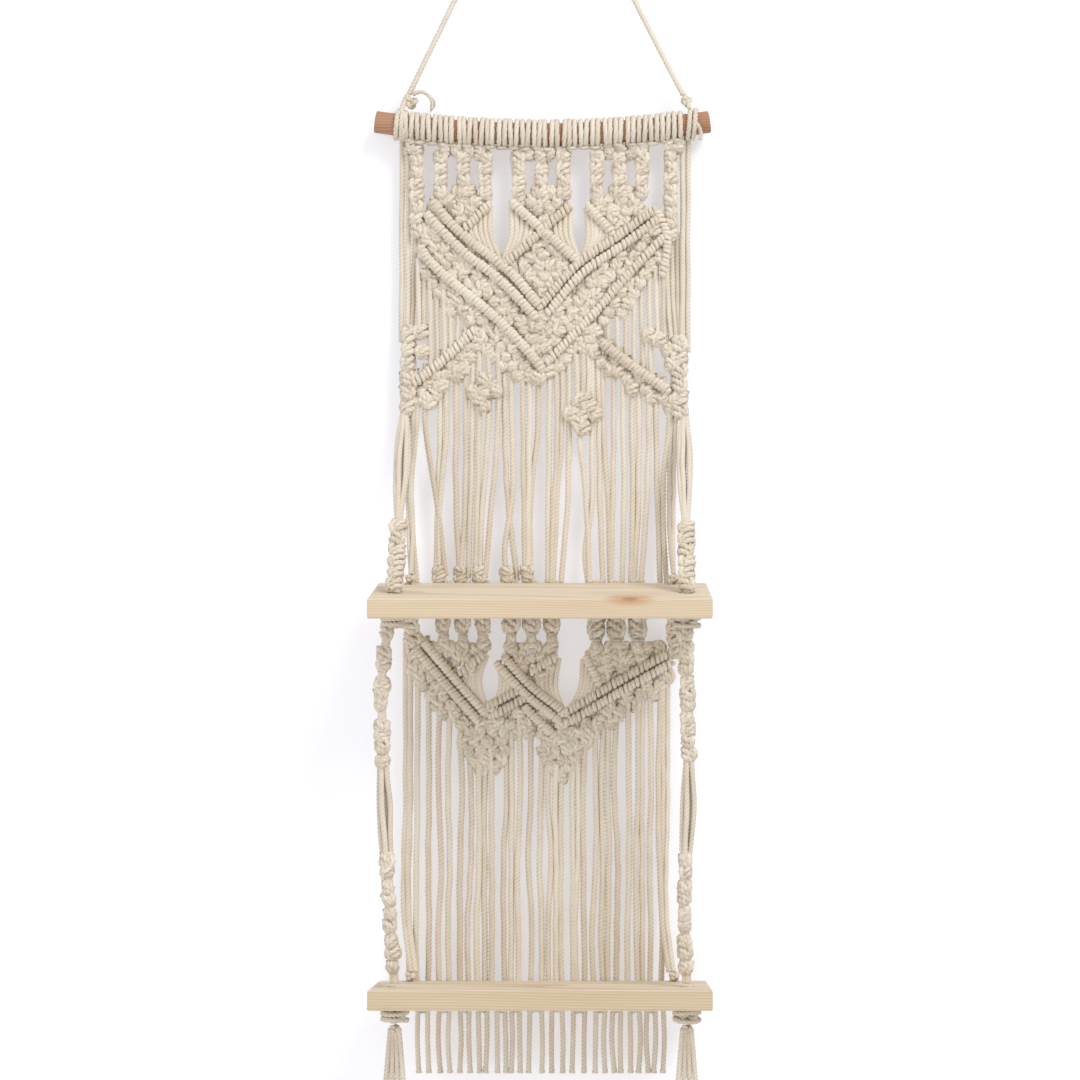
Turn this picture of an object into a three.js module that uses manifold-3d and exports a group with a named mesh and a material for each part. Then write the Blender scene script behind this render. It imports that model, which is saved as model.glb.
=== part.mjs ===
// Hanging rope shelf: two pine boards carried by knotted cotton cords under a wooden dowel.
// Millimetres, +Z up, +X to the viewer's right, -Y towards the viewer, the wall behind at +Y.
// The origin is where the hanging cord bears on its hook. The cords hang in the plane Y = 0.
import * as THREE from "three";
import { mergeVertices } from "three/addons/utils/BufferGeometryUtils.js";
import Module from "manifold-3d";

const wasm = await Module();
wasm.setup();

// Driving dimensions
const boardLength = 300;
const boardDepth = 120;
const boardThickness = 18;
const boardChamfer = 1.2;
const upperTiltDegrees = 5.5;
const lowerTiltDegrees = -6;
const dowelLength = 306;
const dowelDiameter = 20;
const dowelBow = 11.4;
const dowelBevel = 1;
const hookToDowel = 258;
const dowelToUpperBoard = 422;
const boardPitch = 364;
const fringeLength = 67;
const cordDiameter = 5;
const fit = 0.3;

// Lark's heads on the dowel
const wrapPitch = 5.33;
const wrapThickness = 4;
const wrapGroove = 1.5;
const wrapStart = -127.5;
const wrapCounts = [18, 12, 18];

// Knotted cords
const knotRadius = 5.8;
const neckRadius = 3.6;
const strandRadius = 2.4;
const netThickness = 9;
const barRadius = 4.2;
const gapPitch = 19;
const gapSize = 5;
const gapMargin = 8;
const gatherRadius = 6;
const gatherHeight = 9;
const sideRopeRadius = 6.6;
const lowerRopeLean = { left: -5, right: 3 };
const tailKnobRadius = 4.5;

// Holes and ties of the boards
const frontHoleFromBack = 78;
const rearHoleFromBack = 10;
const frontHoleFromEnd = 21;
const rearHoleFromEnd = 30;
const holeRadius = 6;
const tieRadius = 5.4;
const tieKnotWidth = 11;
const tieKnotHeight = 13;
const rearKnotHeight = 3;
const pivotGap = 3.2;
const edgeClearance = 3;
const cornerRise = 60;
const bandHeight = 7;
const bandThickness = 8;

// Knots at the ends of the hanging cord
const windPitch = 5.6;
const windTurns = 1.5;
const leftWindStart = -138.4;
const rightWindStart = 132;
const leftKnob = { x: -125.5, z: -239.5, radius: 6.5 };
const rightKnob = { x: 132, z: -239, radius: 5.6 };

// The hanging cord's centreline, x and z, from the left knot over the hook to the right knot
const hangerRoute = [
  [-122.3, -232.9], [-104.5, -196.3], [-86, -158.2], [-67.4, -120], [-48.8, -81.8],
  [-30.2, -43.5], [-18, -18.4], [-11.1, -4.6], [-6.2, 0.6], [0, 2.5], [6.2, 0.6], [11.3, -4.6],
  [18.4, -18.4], [31.3, -43.5], [51, -82], [70.6, -120.3], [90.1, -158.5], [109.4, -196.3],
  [128.75, -233.4],
];

// Sides of the round shapes
const cordSides = 8;
const strandSides = 6;
const knotSides = 8;
const dowelSides = 16;
const wrapSides = 10;
const holeSides = 12;
const dowelSteps = 8;
const hangerSteps = 40;
const windStepsPerTurn = 24;
const wrapsPerBoreRing = 5;

// Heights worked out from the sizes
const dowelZ = -hookToDowel;
const upperTopZ = dowelZ - dowelToUpperBoard;
const lowerTopZ = upperTopZ - boardPitch;
const boardBackY = -(cordDiameter / 2 + fit);
const wrapRadius = dowelDiameter / 2 + wrapThickness;
const halfBoard = boardLength / 2;
const frontHoleX = halfBoard - frontHoleFromEnd;
const rearHoleX = halfBoard - rearHoleFromEnd;

const cotton = { color: 0xe6dccb, roughness: 0.92, metalness: 0 };
const pine = { color: 0xe5d2b6, roughness: 0.6, metalness: 0 };
const darkWood = { color: 0xb98a69, roughness: 0.7, metalness: 0 };

const shelf = new THREE.Group();

// Adds one named piece to a group
function addPiece(name, geometry, finish, parent = shelf) {
  const mesh = new THREE.Mesh(geometry, new THREE.MeshStandardMaterial(finish));
  mesh.name = name;
  parent.add(mesh);
  return mesh;
}

// Turns a closed surface into a solid, facing out
function solidOf(geometry) {
  const bare = geometry.clone();
  bare.deleteAttribute("normal");
  bare.deleteAttribute("uv");
  const merged = mergeVertices(bare, 1e-4);
  return new wasm.Manifold(new wasm.Mesh({
    numProp: 3,
    vertProperties: new Float32Array(merged.attributes.position.array),
    triVerts: new Uint32Array(merged.index.array),
  }));
}

function geometryOf(solid) {
  const mesh = solid.getMesh();
  return new THREE.BufferGeometry()
    .setAttribute("position", new THREE.BufferAttribute(mesh.vertProperties, 3))
    .setIndex(new THREE.BufferAttribute(mesh.triVerts, 1));
}

const join = (solids) => solids.reduce((whole, next) => whole.add(next));
const cutBy = (solid, tools) => tools.reduce((whole, tool) => whole.subtract(tool), solid);

// A closed skin over rings of equal count: capped at both ends, or closed on itself as a sleeve is
function skin(rings, isSleeve = false) {
  const count = rings[0].length;
  const points = rings.flat().flatMap((p) => [p.x, p.y, p.z]);
  const faces = [];
  const quad = (a, b, c, d) => faces.push(a, b, c, a, c, d);
  const last = isSleeve ? rings.length : rings.length - 1;
  for (let r = 0; r < last; r++) {
    const here = r * count;
    const next = ((r + 1) % rings.length) * count;
    for (let i = 0; i < count; i++) {
      const j = (i + 1) % count;
      quad(here + i, here + j, next + j, next + i);
    }
  }
  for (let i = 1; i < count - 1 && !isSleeve; i++) {
    const end = (rings.length - 1) * count;
    faces.push(0, i + 1, i, end, end + i, end + i + 1);
  }
  const geometry = new THREE.BufferGeometry()
    .setAttribute("position", new THREE.BufferAttribute(new Float32Array(points), 3))
    .setIndex(faces);
  return geometry;
}

// A level ring of points; seen from above it runs clockwise, because stacks run downwards
function levelRing({ x, y, z, rx, ry = rx }, sides) {
  return Array.from({ length: sides }, (_, i) => {
    const turn = -((i + 1 / 2) / sides) * Math.PI * 2;
    return new THREE.Vector3(x + rx * Math.cos(turn), y + ry * Math.sin(turn), z);
  });
}

// Level rings stacked from the top down
const stack = (levels, sides) => solidOf(skin(levels.map((level) => levelRing(level, sides))));

// One straight strand between two points
function strand(from, to, radius = strandRadius) {
  return stack([{ ...from, rx: radius }, { ...to, rx: radius }], strandSides);
}

// A column of square knots: wide at each knot, narrow between them
function knotColumn(from, to, knots, wide = knotRadius, narrow = neckRadius) {
  const levels = [];
  for (let i = 0; i <= knots * 2; i++) {
    const along = i / (knots * 2);
    const radius = i % 2 ? wide : narrow;
    levels.push({
      x: THREE.MathUtils.lerp(from.x, to.x, along),
      y: THREE.MathUtils.lerp(from.y, to.y, along),
      z: THREE.MathUtils.lerp(from.z, to.z, along),
      rx: radius,
    });
  }
  return stack(levels, knotSides);
}

// A ball-like knot: three rings between two small flats
function knob(x, y, z, rx, ry, rz) {
  const levelShares = [[1, 0.45], [0.55, 0.86], [0, 1], [-0.55, 0.86], [-1, 0.45]];
  return stack(
    levelShares.map(([up, out]) => ({ x, y, z: z + up * rz, rx: out * rx, ry: out * ry })),
    knotSides,
  );
}

// A place on the cords' plane above the upper board, from shares of the half board and of the drop
const upperAt = ([xShare, dropShare]) =>
  new THREE.Vector2(xShare * halfBoard, dowelZ - dropShare * dowelToUpperBoard);

// The same between the two boards, from the upper board's top down
const lowerAt = ([xShare, dropShare]) =>
  new THREE.Vector2(xShare * halfBoard, upperTopZ - dropShare * boardPitch);

const place = (flat, y = 0) => ({ x: flat.x, y, z: flat.y });

// Moves every side of an outline inwards by one distance, or outwards by a negative one
function inset(outline, distance) {
  const inwards = THREE.ShapeUtils.isClockWise(outline) ? -distance : distance;
  return outline.map((corner, i) => {
    const before = outline[(i + outline.length - 1) % outline.length];
    const after = outline[(i + 1) % outline.length];
    const u = corner.clone().sub(before).normalize();
    const v = after.clone().sub(corner).normalize();
    const normal = new THREE.Vector2(-(u.y + v.y), u.x + v.x).normalize();
    const reach = inwards / Math.max(normal.dot(new THREE.Vector2(-u.y, u.x)), 1 / 2);
    return corner.clone().addScaledVector(normal, reach);
  });
}

// A flat piece in the cords' plane, centred on Y = 0
function prism(outline, thickness) {
  const shape = new THREE.Shape(outline);
  const flat = new THREE.ExtrudeGeometry(shape, { depth: thickness, bevelEnabled: false });
  return solidOf(flat.rotateX(Math.PI / 2).translate(0, thickness / 2, 0));
}

// True where a point is inside an outline
function isInside(outline, x, z) {
  let inside = false;
  outline.forEach((p, i) => {
    const q = outline[(i + 1) % outline.length];
    if ((p.y > z) !== (q.y > z) && x < ((q.x - p.x) * (z - p.y)) / (q.y - p.y) + p.x) {
      inside = !inside;
    }
  });
  return inside;
}

// The distance from a point to the nearest side of an outline
function reachToEdge(outline, x, z) {
  const point = new THREE.Vector3(x, z, 0);
  return Math.min(...outline.map((p, i) => {
    const q = outline[(i + 1) % outline.length];
    const side = new THREE.Line3(new THREE.Vector3(p.x, p.y, 0), new THREE.Vector3(q.x, q.y, 0));
    return side.closestPointToPoint(point, true, new THREE.Vector3()).distanceTo(point);
  }));
}

// The diamond gaps between alternating square knots, wherever they fit inside an outline
function knotGaps(outline) {
  const xs = outline.map((p) => p.x);
  const zs = outline.map((p) => p.y);
  const gaps = [];
  const rows = Math.ceil((Math.max(...zs) - Math.min(...zs)) / (gapPitch / 2));
  for (let row = 1; row < rows; row++) {
    const z = Math.max(...zs) - (row * gapPitch) / 2;
    const shift = row % 2 ? gapPitch / 2 : 0;
    for (let x = Math.min(...xs) + shift; x < Math.max(...xs); x += gapPitch) {
      if (isInside(outline, x, z) && reachToEdge(outline, x, z) > gapMargin) gaps.push(diamond(x, z));
    }
  }
  return gaps;
}

function diamond(x, z) {
  const half = gapSize / 2;
  return [[half, 0], [0, half], [-half, 0], [0, -half]].map(
    ([right, up]) => new THREE.Vector2(x + right, z + up),
  );
}

// A bar of half hitches lying on the front of a net
function hitchBar(from, to) {
  const length = from.distanceTo(to);
  const bar = new THREE.CylinderGeometry(barRadius, barRadius, length, strandSides);
  bar.rotateZ(Math.atan2(to.y - from.y, to.x - from.x) - Math.PI / 2);
  bar.translate((from.x + to.x) / 2, (from.y + to.y) / 2, 0).rotateX(Math.PI / 2);
  return solidOf(bar.translate(0, -netThickness / 2, 0));
}

// A knotted net: a plate with its gaps and bars, kept half a fit inside its outline
function knottedNet(outline, barPairs) {
  const edge = inset(outline, fit / 2);
  const gaps = knotGaps(edge).map((gap) => prism(gap, 2 * netThickness));
  const plate = cutBy(prism(edge, netThickness), gaps);
  const bars = barPairs.map(([from, to]) => hitchBar(from, to));
  const room = prism(edge, netThickness + 4 * barRadius);
  return join([plate, ...bars]).intersect(room);
}

// Height of the dowel's bowed axis at a distance from its middle
const dowelAxisZ = (x) => dowelZ - dowelBow * (1 - (x / (dowelLength / 2)) ** 2);

// A ring square to the dowel; it runs so that sleeves and rods built along +X face out
function uprightRing(x, radius, sides) {
  return Array.from({ length: sides }, (_, i) => {
    const turn = ((i + 1 / 2) / sides) * Math.PI * 2;
    return new THREE.Vector3(x, radius * Math.cos(turn), dowelAxisZ(x) + radius * Math.sin(turn));
  });
}

function makeDowel() {
  const half = dowelLength / 2;
  const radius = dowelDiameter / 2;
  const rings = [uprightRing(-half, radius - dowelBevel, dowelSides)];
  for (let i = 0; i <= dowelSteps; i++) {
    const x = THREE.MathUtils.lerp(dowelBevel - half, half - dowelBevel, i / dowelSteps);
    rings.push(uprightRing(x, radius, dowelSides));
  }
  rings.push(uprightRing(half, radius - dowelBevel, dowelSides));
  return skin(rings);
}

// A sleeve of lark's head wraps: one groove and one crest for each wrap, over a clear bore
function makeWraps(start, count) {
  const rings = [];
  const first = start + fit;
  const last = start + count * wrapPitch - fit;
  for (let i = 0; i < count; i++) {
    const x = start + i * wrapPitch;
    rings.push(uprightRing(i ? x : first, wrapRadius - wrapGroove, wrapSides));
    rings.push(uprightRing(x + wrapPitch / 2, wrapRadius, wrapSides));
  }
  rings.push(uprightRing(last, wrapRadius - wrapGroove, wrapSides));
  const bore = (dowelDiameter / 2 + 2 * fit) / Math.cos(Math.PI / wrapSides);
  const boreSteps = Math.ceil(count / wrapsPerBoreRing);
  for (let i = boreSteps; i >= 0; i--) {
    rings.push(uprightRing(THREE.MathUtils.lerp(first, last, i / boreSteps), bore, wrapSides));
  }
  return skin(rings, true);
}

// A cord's round section for an extrusion
function cordSection(diameter, sides) {
  return new THREE.Shape(Array.from({ length: sides }, (_, i) => {
    const turn = (i / sides) * Math.PI * 2;
    return new THREE.Vector2((diameter / 2) * Math.cos(turn), (diameter / 2) * Math.sin(turn));
  }));
}

function cordAlong(points, steps, sides) {
  const curve = new THREE.CatmullRomCurve3(points, false, "centripetal");
  const section = cordSection(cordDiameter, sides);
  return new THREE.ExtrudeGeometry(section, { steps, extrudePath: curve, bevelEnabled: false });
}

// The hanging cord's end wound round the dowel, with its knob above
function makeEndKnot(windStart, knobPlace) {
  const points = [];
  const reach = (dowelDiameter + cordDiameter) / 2 + 3 * fit;
  const steps = windTurns * windStepsPerTurn;
  for (let i = 0; i <= steps; i++) {
    const turn = (i / windStepsPerTurn) * Math.PI * 2 - Math.PI / 2;
    const x = windStart + (i / windStepsPerTurn) * windPitch;
    points.push(new THREE.Vector3(
      x, reach * Math.cos(turn), dowelAxisZ(x) + reach * Math.sin(turn),
    ));
  }
  const turnGap = points[windStepsPerTurn].distanceTo(points[0]) - cordDiameter;
  console.log("least gap between the turns at " + windStart + ": " + turnGap.toFixed(2) + " mm");
  points.push(new THREE.Vector3(knobPlace.x, -cordDiameter / 4, knobPlace.z));
  const winding = solidOf(cordAlong(points, steps, strandSides));
  const { x, z, radius } = knobPlace;
  return geometryOf(winding.add(knob(x, 0, z, radius, radius, radius)));
}

// Outlines and lines of the upper knotwork, x as a share of the half board, then the drop's share
const leftNetShares = [
  [-0.681, 0.158], [-0.296, 0.158], [-0.296, 0.184], [-0.437, 0.241], [-0.006, 0.391],
  [-0.006, 0.573], [-0.089, 0.562], [-0.259, 0.499], [-0.412, 0.443], [-0.705, 0.339],
  [-0.766, 0.304], [-0.754, 0.239], [-0.723, 0.18],
];
const centreNetShares = [
  [-0.223, 0.158], [0.192, 0.158], [0.211, 0.184], [0.064, 0.243], [0.205, 0.298],
  [-0.006, 0.391], [-0.241, 0.309], [-0.07, 0.243], [-0.235, 0.184],
];
const rightNetShares = [
  [0.247, 0.158], [0.687, 0.158], [0.748, 0.195], [0.736, 0.304], [0.595, 0.38], [0.4, 0.464],
  [0.156, 0.512], [0.058, 0.562], [-0.006, 0.573], [-0.006, 0.391], [0.223, 0.29],
  [0.394, 0.25], [0.241, 0.187],
];
const leftTailShares = [
  [-0.412, 0.443], [-0.278, 0.492], [-0.455, 0.547], [-0.699, 0.614], [-0.765, 0.603],
  [-0.765, 0.558],
];
const rightTailShares = [
  [0.4, 0.464], [0.266, 0.491], [0.29, 0.512], [0.766, 0.623], [0.79, 0.608], [0.766, 0.575],
];
const leftBarShares = [
  [[-0.668, 0.171], [-0.009, 0.4]], [[-0.711, 0.2], [-0.027, 0.43]],
  [[-0.742, 0.278], [-0.015, 0.54]], [[-0.308, 0.18], [-0.467, 0.232]],
];
const centreBarShares = [[[-0.211, 0.176], [0.205, 0.297]], [[0.192, 0.176], [-0.235, 0.306]]];
const rightBarShares = [
  [[0.687, 0.191], [-0.009, 0.391]], [[0.711, 0.221], [0.003, 0.421]],
  [[0.723, 0.252], [0.003, 0.454]], [[0.259, 0.182], [0.418, 0.243]],
];
const leftTailBarShares = [[[-0.4, 0.458], [-0.772, 0.569]]];
const rightTailBarShares = [[[0.369, 0.48], [0.772, 0.584]]];

const leftNetLine = leftNetShares.map(upperAt);
const centreNetLine = centreNetShares.map(upperAt);
const rightNetLine = rightNetShares.map(upperAt);
const leftTailLine = leftTailShares.map(upperAt);
const rightTailLine = rightTailShares.map(upperAt);
const upperBars = (pairs) => pairs.map((pair) => pair.map(upperAt));

// Solids a little larger than the knotwork, for cutting the strands that leave it
const knotworkRoom = [leftNetLine, centreNetLine, rightNetLine, leftTailLine, rightTailLine].map(
  (line) => prism(inset(line, -fit / 2), netThickness + 4 * barRadius),
);

function makeHanger() {
  const route = hangerRoute.map(([x, z]) => new THREE.Vector3(x, 0, z));
  addPiece("hanger_cord", cordAlong(route, hangerSteps, cordSides), cotton);
  addPiece("hanger_knot_left", makeEndKnot(leftWindStart, leftKnob), cotton);
  addPiece("hanger_knot_right", makeEndKnot(rightWindStart, rightKnob), cotton);
  addPiece("dowel", makeDowel(), darkWood);
  const wrapNames = ["larks_heads_left", "larks_heads_centre", "larks_heads_right"];
  let start = wrapStart;
  wrapNames.forEach((name, i) => {
    addPiece(name, makeWraps(start, wrapCounts[i]), cotton);
    start += wrapCounts[i] * wrapPitch;
  });
}

// The knotted columns and straight cords that hang from the lark's heads
const sinnetXShares = [-0.632, -0.476, -0.345, -0.156, 0, 0.131, 0.336, 0.477, 0.607];
const netTopShare = 0.158;
const sinnetKnots = 3;
const edgeSinnetShares = { left: [-0.765, 0.19], right: [0.79, 0.256] };
const edgeCordXShares = { left: -0.828, right: 0.842 };
const sideKnotShares = {
  left: [[-0.833, 0.475], [-0.84, 0.622]],
  right: [[0.868, 0.493], [0.868, 0.63]],
};
const sideKnots = 3;

// The top end of a cord that hangs from the lark's heads, clear of the bowed dowel's low side
function columnTop(x) {
  const lowSide = Math.max(0, Math.abs(x) - neckRadius);
  return { x, y: 0, z: dowelAxisZ(lowSide) - wrapRadius - fit };
}

function makeUpperCords() {
  sinnetXShares.forEach((xShare, i) => {
    const end = place(upperAt([xShare, netTopShare]));
    end.z += fit;
    const column = knotColumn(columnTop(end.x), end, sinnetKnots);
    addPiece("sinnet_" + (i + 1), geometryOf(column), cotton);
  });
  for (const side of ["left", "right"]) {
    const end = place(upperAt(edgeSinnetShares[side]));
    const column = knotColumn(columnTop(end.x), end, sinnetKnots + 1, knotRadius - 2 * fit);
    addPiece("edge_sinnet_" + side, geometryOf(cutBy(column, knotworkRoom)), cotton);
    const [knotTop, knotEnd] = sideKnotShares[side].map((shares) => place(upperAt(shares)));
    const cordX = edgeCordXShares[side] * halfBoard;
    const cordEnd = { ...knotTop, x: cordX, z: knotTop.z + fit };
    const cord = strand(columnTop(cordX), cordEnd);
    addPiece("edge_cord_" + side, geometryOf(cutBy(cord, knotworkRoom)), cotton);
    const knots = knotColumn(knotTop, knotEnd, sideKnots);
    addPiece("side_knots_" + side, geometryOf(cutBy(knots, knotworkRoom)), cotton);
  }
}

// The three nets and, below them, the two slanted tails with their short straight cords
const overlapShare = 0.02;
const shortCordShares = {
  left: [-0.675, -0.614, -0.553, -0.491],
  right: [0.449, 0.51, 0.571, 0.632, 0.68],
};
const shortTopShares = {
  left: [[-0.705, 0.339], [-0.412, 0.443]],
  right: [[0.4, 0.464], [0.595, 0.38], [0.736, 0.304]],
};
const shortEndShares = {
  left: [[-0.765, 0.558], [-0.412, 0.443]],
  right: [[0.4, 0.464], [0.766, 0.575]],
};

// The drop's share of a line of points at one x share
function dropAt(lineShares, xShare) {
  const next = Math.max(1, lineShares.findIndex(([x]) => x >= xShare));
  const [[x0, d0], [x1, d1]] = [lineShares[next - 1], lineShares[next]];
  return d0 + ((d1 - d0) * (xShare - x0)) / (x1 - x0);
}

function makeTail(side, line, barShares) {
  const cords = shortCordShares[side].map((xShare) => strand(
    place(upperAt([xShare, dropAt(shortTopShares[side], xShare) - overlapShare])),
    place(upperAt([xShare, dropAt(shortEndShares[side], xShare) + overlapShare])),
  ));
  const net = knottedNet(line, upperBars(barShares));
  return geometryOf(cutBy(join([net, ...cords]), knotworkRoom.slice(0, 3)));
}

function makeUpperKnotwork() {
  const nets = [
    ["upper_net_left", leftNetLine, leftBarShares],
    ["upper_net_centre", centreNetLine, centreBarShares],
    ["upper_net_right", rightNetLine, rightBarShares],
  ];
  for (const [name, line, bars] of nets) {
    addPiece(name, geometryOf(knottedNet(line, upperBars(bars))), cotton);
  }
  addPiece("tail_left", makeTail("left", leftTailLine, leftTailBarShares), cotton);
  addPiece("tail_right", makeTail("right", rightTailLine, rightTailBarShares), cotton);
}

// Nine bundles of four strands run from the knotwork to a gather knot at the board's back
const contourShares = [
  [-0.803, 0.608], [-0.699, 0.614], [-0.455, 0.547], [-0.272, 0.499], [-0.089, 0.566],
  [-0.009, 0.577], [0.064, 0.566], [0.162, 0.514], [0.272, 0.495], [0.766, 0.623], [0.858, 0.612],
];
const bundleTopShares = [-0.655, -0.49, -0.335, -0.19, -0.04, 0.115, 0.275, 0.45, 0.64];
const bundleEndShares = [-0.626, -0.498, -0.375, -0.211, -0.082, 0.064, 0.302, 0.449, 0.589];
const strandPitchShare = 0.037;
const strandsInBundle = 4;
const clusterBundles = [2, 6];
const clusterDropShares = [0.614, 0.64];
const clusterHalfWidth = 9;
const clusterHalfHeight = 16.5;
const gatherRise = 7;

// A diamond of four square knots in a bundle
function knotCluster(xShare, dropShare) {
  const middle = upperAt([xShare, dropShare]);
  const corners = [
    [clusterHalfWidth, 0], [0, clusterHalfHeight], [-clusterHalfWidth, 0], [0, -clusterHalfHeight],
  ];
  const line = corners.map(([right, up]) => middle.clone().add(new THREE.Vector2(right, up)));
  return prism(line, netThickness);
}

function makeBundles() {
  bundleTopShares.forEach((topShare, bundle) => {
    const x = bundleEndShares[bundle] * halfBoard;
    const z = upperTopZ + gatherRise;
    const pieces = [knob(x, 0, z, gatherRadius, gatherHeight / 2, gatherHeight / 2)];
    for (let i = 0; i < strandsInBundle; i++) {
      const offset = i - (strandsInBundle - 1) / 2;
      const xShare = topShare + offset * strandPitchShare;
      const top = place(upperAt([xShare, dropAt(contourShares, xShare) - overlapShare]));
      pieces.push(strand(top, { x: x + (offset * strandRadius) / 2, y: 0, z }));
    }
    const cluster = clusterBundles.indexOf(bundle);
    if (cluster >= 0) pieces.push(knotCluster(topShare, clusterDropShares[cluster]));
    addPiece("bundle_" + (bundle + 1), geometryOf(cutBy(join(pieces), knotworkRoom)), cotton);
  });
}

// The two boards, each in a group of its own that is tilted about its upper back edge
const boards = {
  upper: new THREE.Group(),
  lower: new THREE.Group(),
};
const tilts = {
  upper: THREE.MathUtils.degToRad(upperTiltDegrees),
  lower: THREE.MathUtils.degToRad(lowerTiltDegrees),
};
boards.upper.position.z = upperTopZ;
boards.lower.position.z = lowerTopZ;
for (const level of ["upper", "lower"]) {
  boards[level].rotation.x = tilts[level];
  boards[level].position.y = boardBackY - Math.max(0, boardThickness * Math.sin(tilts[level]));
  boards[level].updateMatrixWorld(true);
  shelf.add(boards[level]);
}

// A place in the room, from a place on a board: across, in from its back edge, and above its top
function onBoard(level, x, fromBack, above) {
  return boards[level].localToWorld(new THREE.Vector3(x, -fromBack, above));
}

function makeBoard() {
  const outline = new THREE.Shape([
    new THREE.Vector2(-halfBoard, -boardDepth), new THREE.Vector2(halfBoard, -boardDepth),
    new THREE.Vector2(halfBoard, 0), new THREE.Vector2(-halfBoard, 0),
  ]);
  for (const side of [-1, 1]) {
    for (const [x, fromBack] of [[frontHoleX, frontHoleFromBack], [rearHoleX, rearHoleFromBack]]) {
      const hole = Array.from({ length: holeSides }, (_, i) => {
        const turn = (i / holeSides) * Math.PI * 2;
        return new THREE.Vector2(
          side * x + holeRadius * Math.cos(turn), holeRadius * Math.sin(turn) - fromBack,
        );
      });
      outline.holes.push(new THREE.Path(hole));
    }
  }
  const slab = new THREE.ExtrudeGeometry(outline, {
    depth: boardThickness - 2 * boardChamfer,
    bevelThickness: boardChamfer,
    bevelSize: boardChamfer,
    bevelOffset: -boardChamfer,
    bevelSegments: 1,
  });
  return slab.translate(0, 0, boardChamfer - boardThickness);
}

const tieShares = [0.82, 0.6];
const ballShares = [[1, 0.4], [0.7, 0.75], [0, 1], [-0.6, 0.88]];
const rearNeckShare = 0.85;
const rearTieDepth = boardThickness + rearKnotHeight + 5 * fit;

// The cords in a front hole, tied in a bulky knot under the board
function makeTie(x) {
  const under = -boardThickness - fit;
  const levels = [
    { z: 0, rx: tieRadius, ry: tieRadius },
    { z: under, rx: tieRadius, ry: tieRadius },
    { z: under, rx: tieKnotWidth * tieShares[0], ry: knotRadius },
    { z: under - tieKnotHeight / 2, rx: tieKnotWidth, ry: knotRadius + 1.5 * fit },
    { z: under - tieKnotHeight, rx: tieKnotWidth * tieShares[1], ry: neckRadius },
  ];
  return stack(levels.map((level) => ({ ...level, x, y: -frontHoleFromBack })), knotSides);
}

// The edge bundle's cords in a rear hole, with a round knot above that the board turns about
function makeRearTie(x) {
  const under = -boardThickness - fit;
  const levels = [
    ...ballShares.map(([up, out]) => [tieRadius * (1 + up), tieRadius * out]),
    [0, rearNeckShare * tieRadius],
    [under, tieRadius],
    [under, tieRadius + 4 * fit],
    [4 * fit - rearTieDepth, tieRadius + 4 * fit],
    [-rearTieDepth, neckRadius],
  ];
  const y = -rearHoleFromBack;
  return stack(levels.map(([z, radius]) => ({ x, y, z, rx: radius })), knotSides);
}

function makeBoards() {
  for (const level of ["upper", "lower"]) {
    addPiece(level + "_board", makeBoard(), pine, boards[level]);
    for (const [side, sign] of [["left", -1], ["right", 1]]) {
      const end = level + "_" + side;
      addPiece("front_tie_" + end, geometryOf(makeTie(sign * frontHoleX)), cotton, boards[level]);
      addPiece("rear_tie_" + end, geometryOf(makeRearTie(sign * rearHoleX)), cotton, boards[level]);
    }
  }
}

// The edge bundle from the side of the knotwork to the round knot on the board's back corner
const edgeBundleShares = { left: [-0.772, 0.628], right: [0.79, 0.633] };
const edgeBendShare = 0.85;
const edgeBundleWidth = 4;

function makeEdgeBundle(side, sign) {
  const top = place(upperAt(edgeBundleShares[side]));
  const ball = onBoard("upper", sign * rearHoleX, rearHoleFromBack, 2 * tieRadius);
  const bendX = THREE.MathUtils.lerp(top.x, ball.x, 1 / 3);
  const bendZ = upperAt([0, edgeBendShare]).y;
  const levels = [
    { ...top, rx: edgeBundleWidth, ry: strandRadius },
    { x: bendX, y: 0, z: bendZ, rx: edgeBundleWidth, ry: strandRadius },
    { x: ball.x, y: ball.y, z: ball.z + gatherRise, rx: edgeBundleWidth, ry: neckRadius },
    { x: ball.x, y: ball.y, z: ball.z + 2 * fit, rx: neckRadius / 2, ry: neckRadius / 2 },
  ];
  return geometryOf(cutBy(stack(levels, knotSides), knotworkRoom));
}

// A rope of knots and loose stretches: how far along, then its radius as a share of the widest
const upperRopeShares = [
  [0, 0.55], [0.12, 0.8], [0.4, 0.85], [0.6, 0.62], [0.67, 1], [0.74, 0.62], [0.81, 1],
  [0.88, 0.62], [0.94, 1], [0.98, 0.7], [1, 0.62],
];
const lowerRopeShares = [
  [0, 0.35], [0.008, 0.66], [0.02, 0.72], [0.032, 0.55], [0.06, 1], [0.1, 0.6], [0.14, 1],
  [0.2, 0.62], [0.26, 1], [0.285, 0.8], [0.31, 1], [0.35, 0.8], [0.48, 0.85], [0.6, 0.6],
  [0.65, 1], [0.695, 0.6], [0.74, 1], [0.79, 0.6], [0.84, 1], [0.89, 0.6], [0.94, 1],
  [0.968, 0.55], [0.98, 0.72], [0.992, 0.66], [1, 0.35],
];

function ropeBetween(from, to, profileShares) {
  return stack(profileShares.map(([along, wide]) => {
    const { x, y, z } = from.clone().lerp(to, along);
    return { x, y, z, rx: wide * sideRopeRadius };
  }), knotSides);
}


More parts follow.
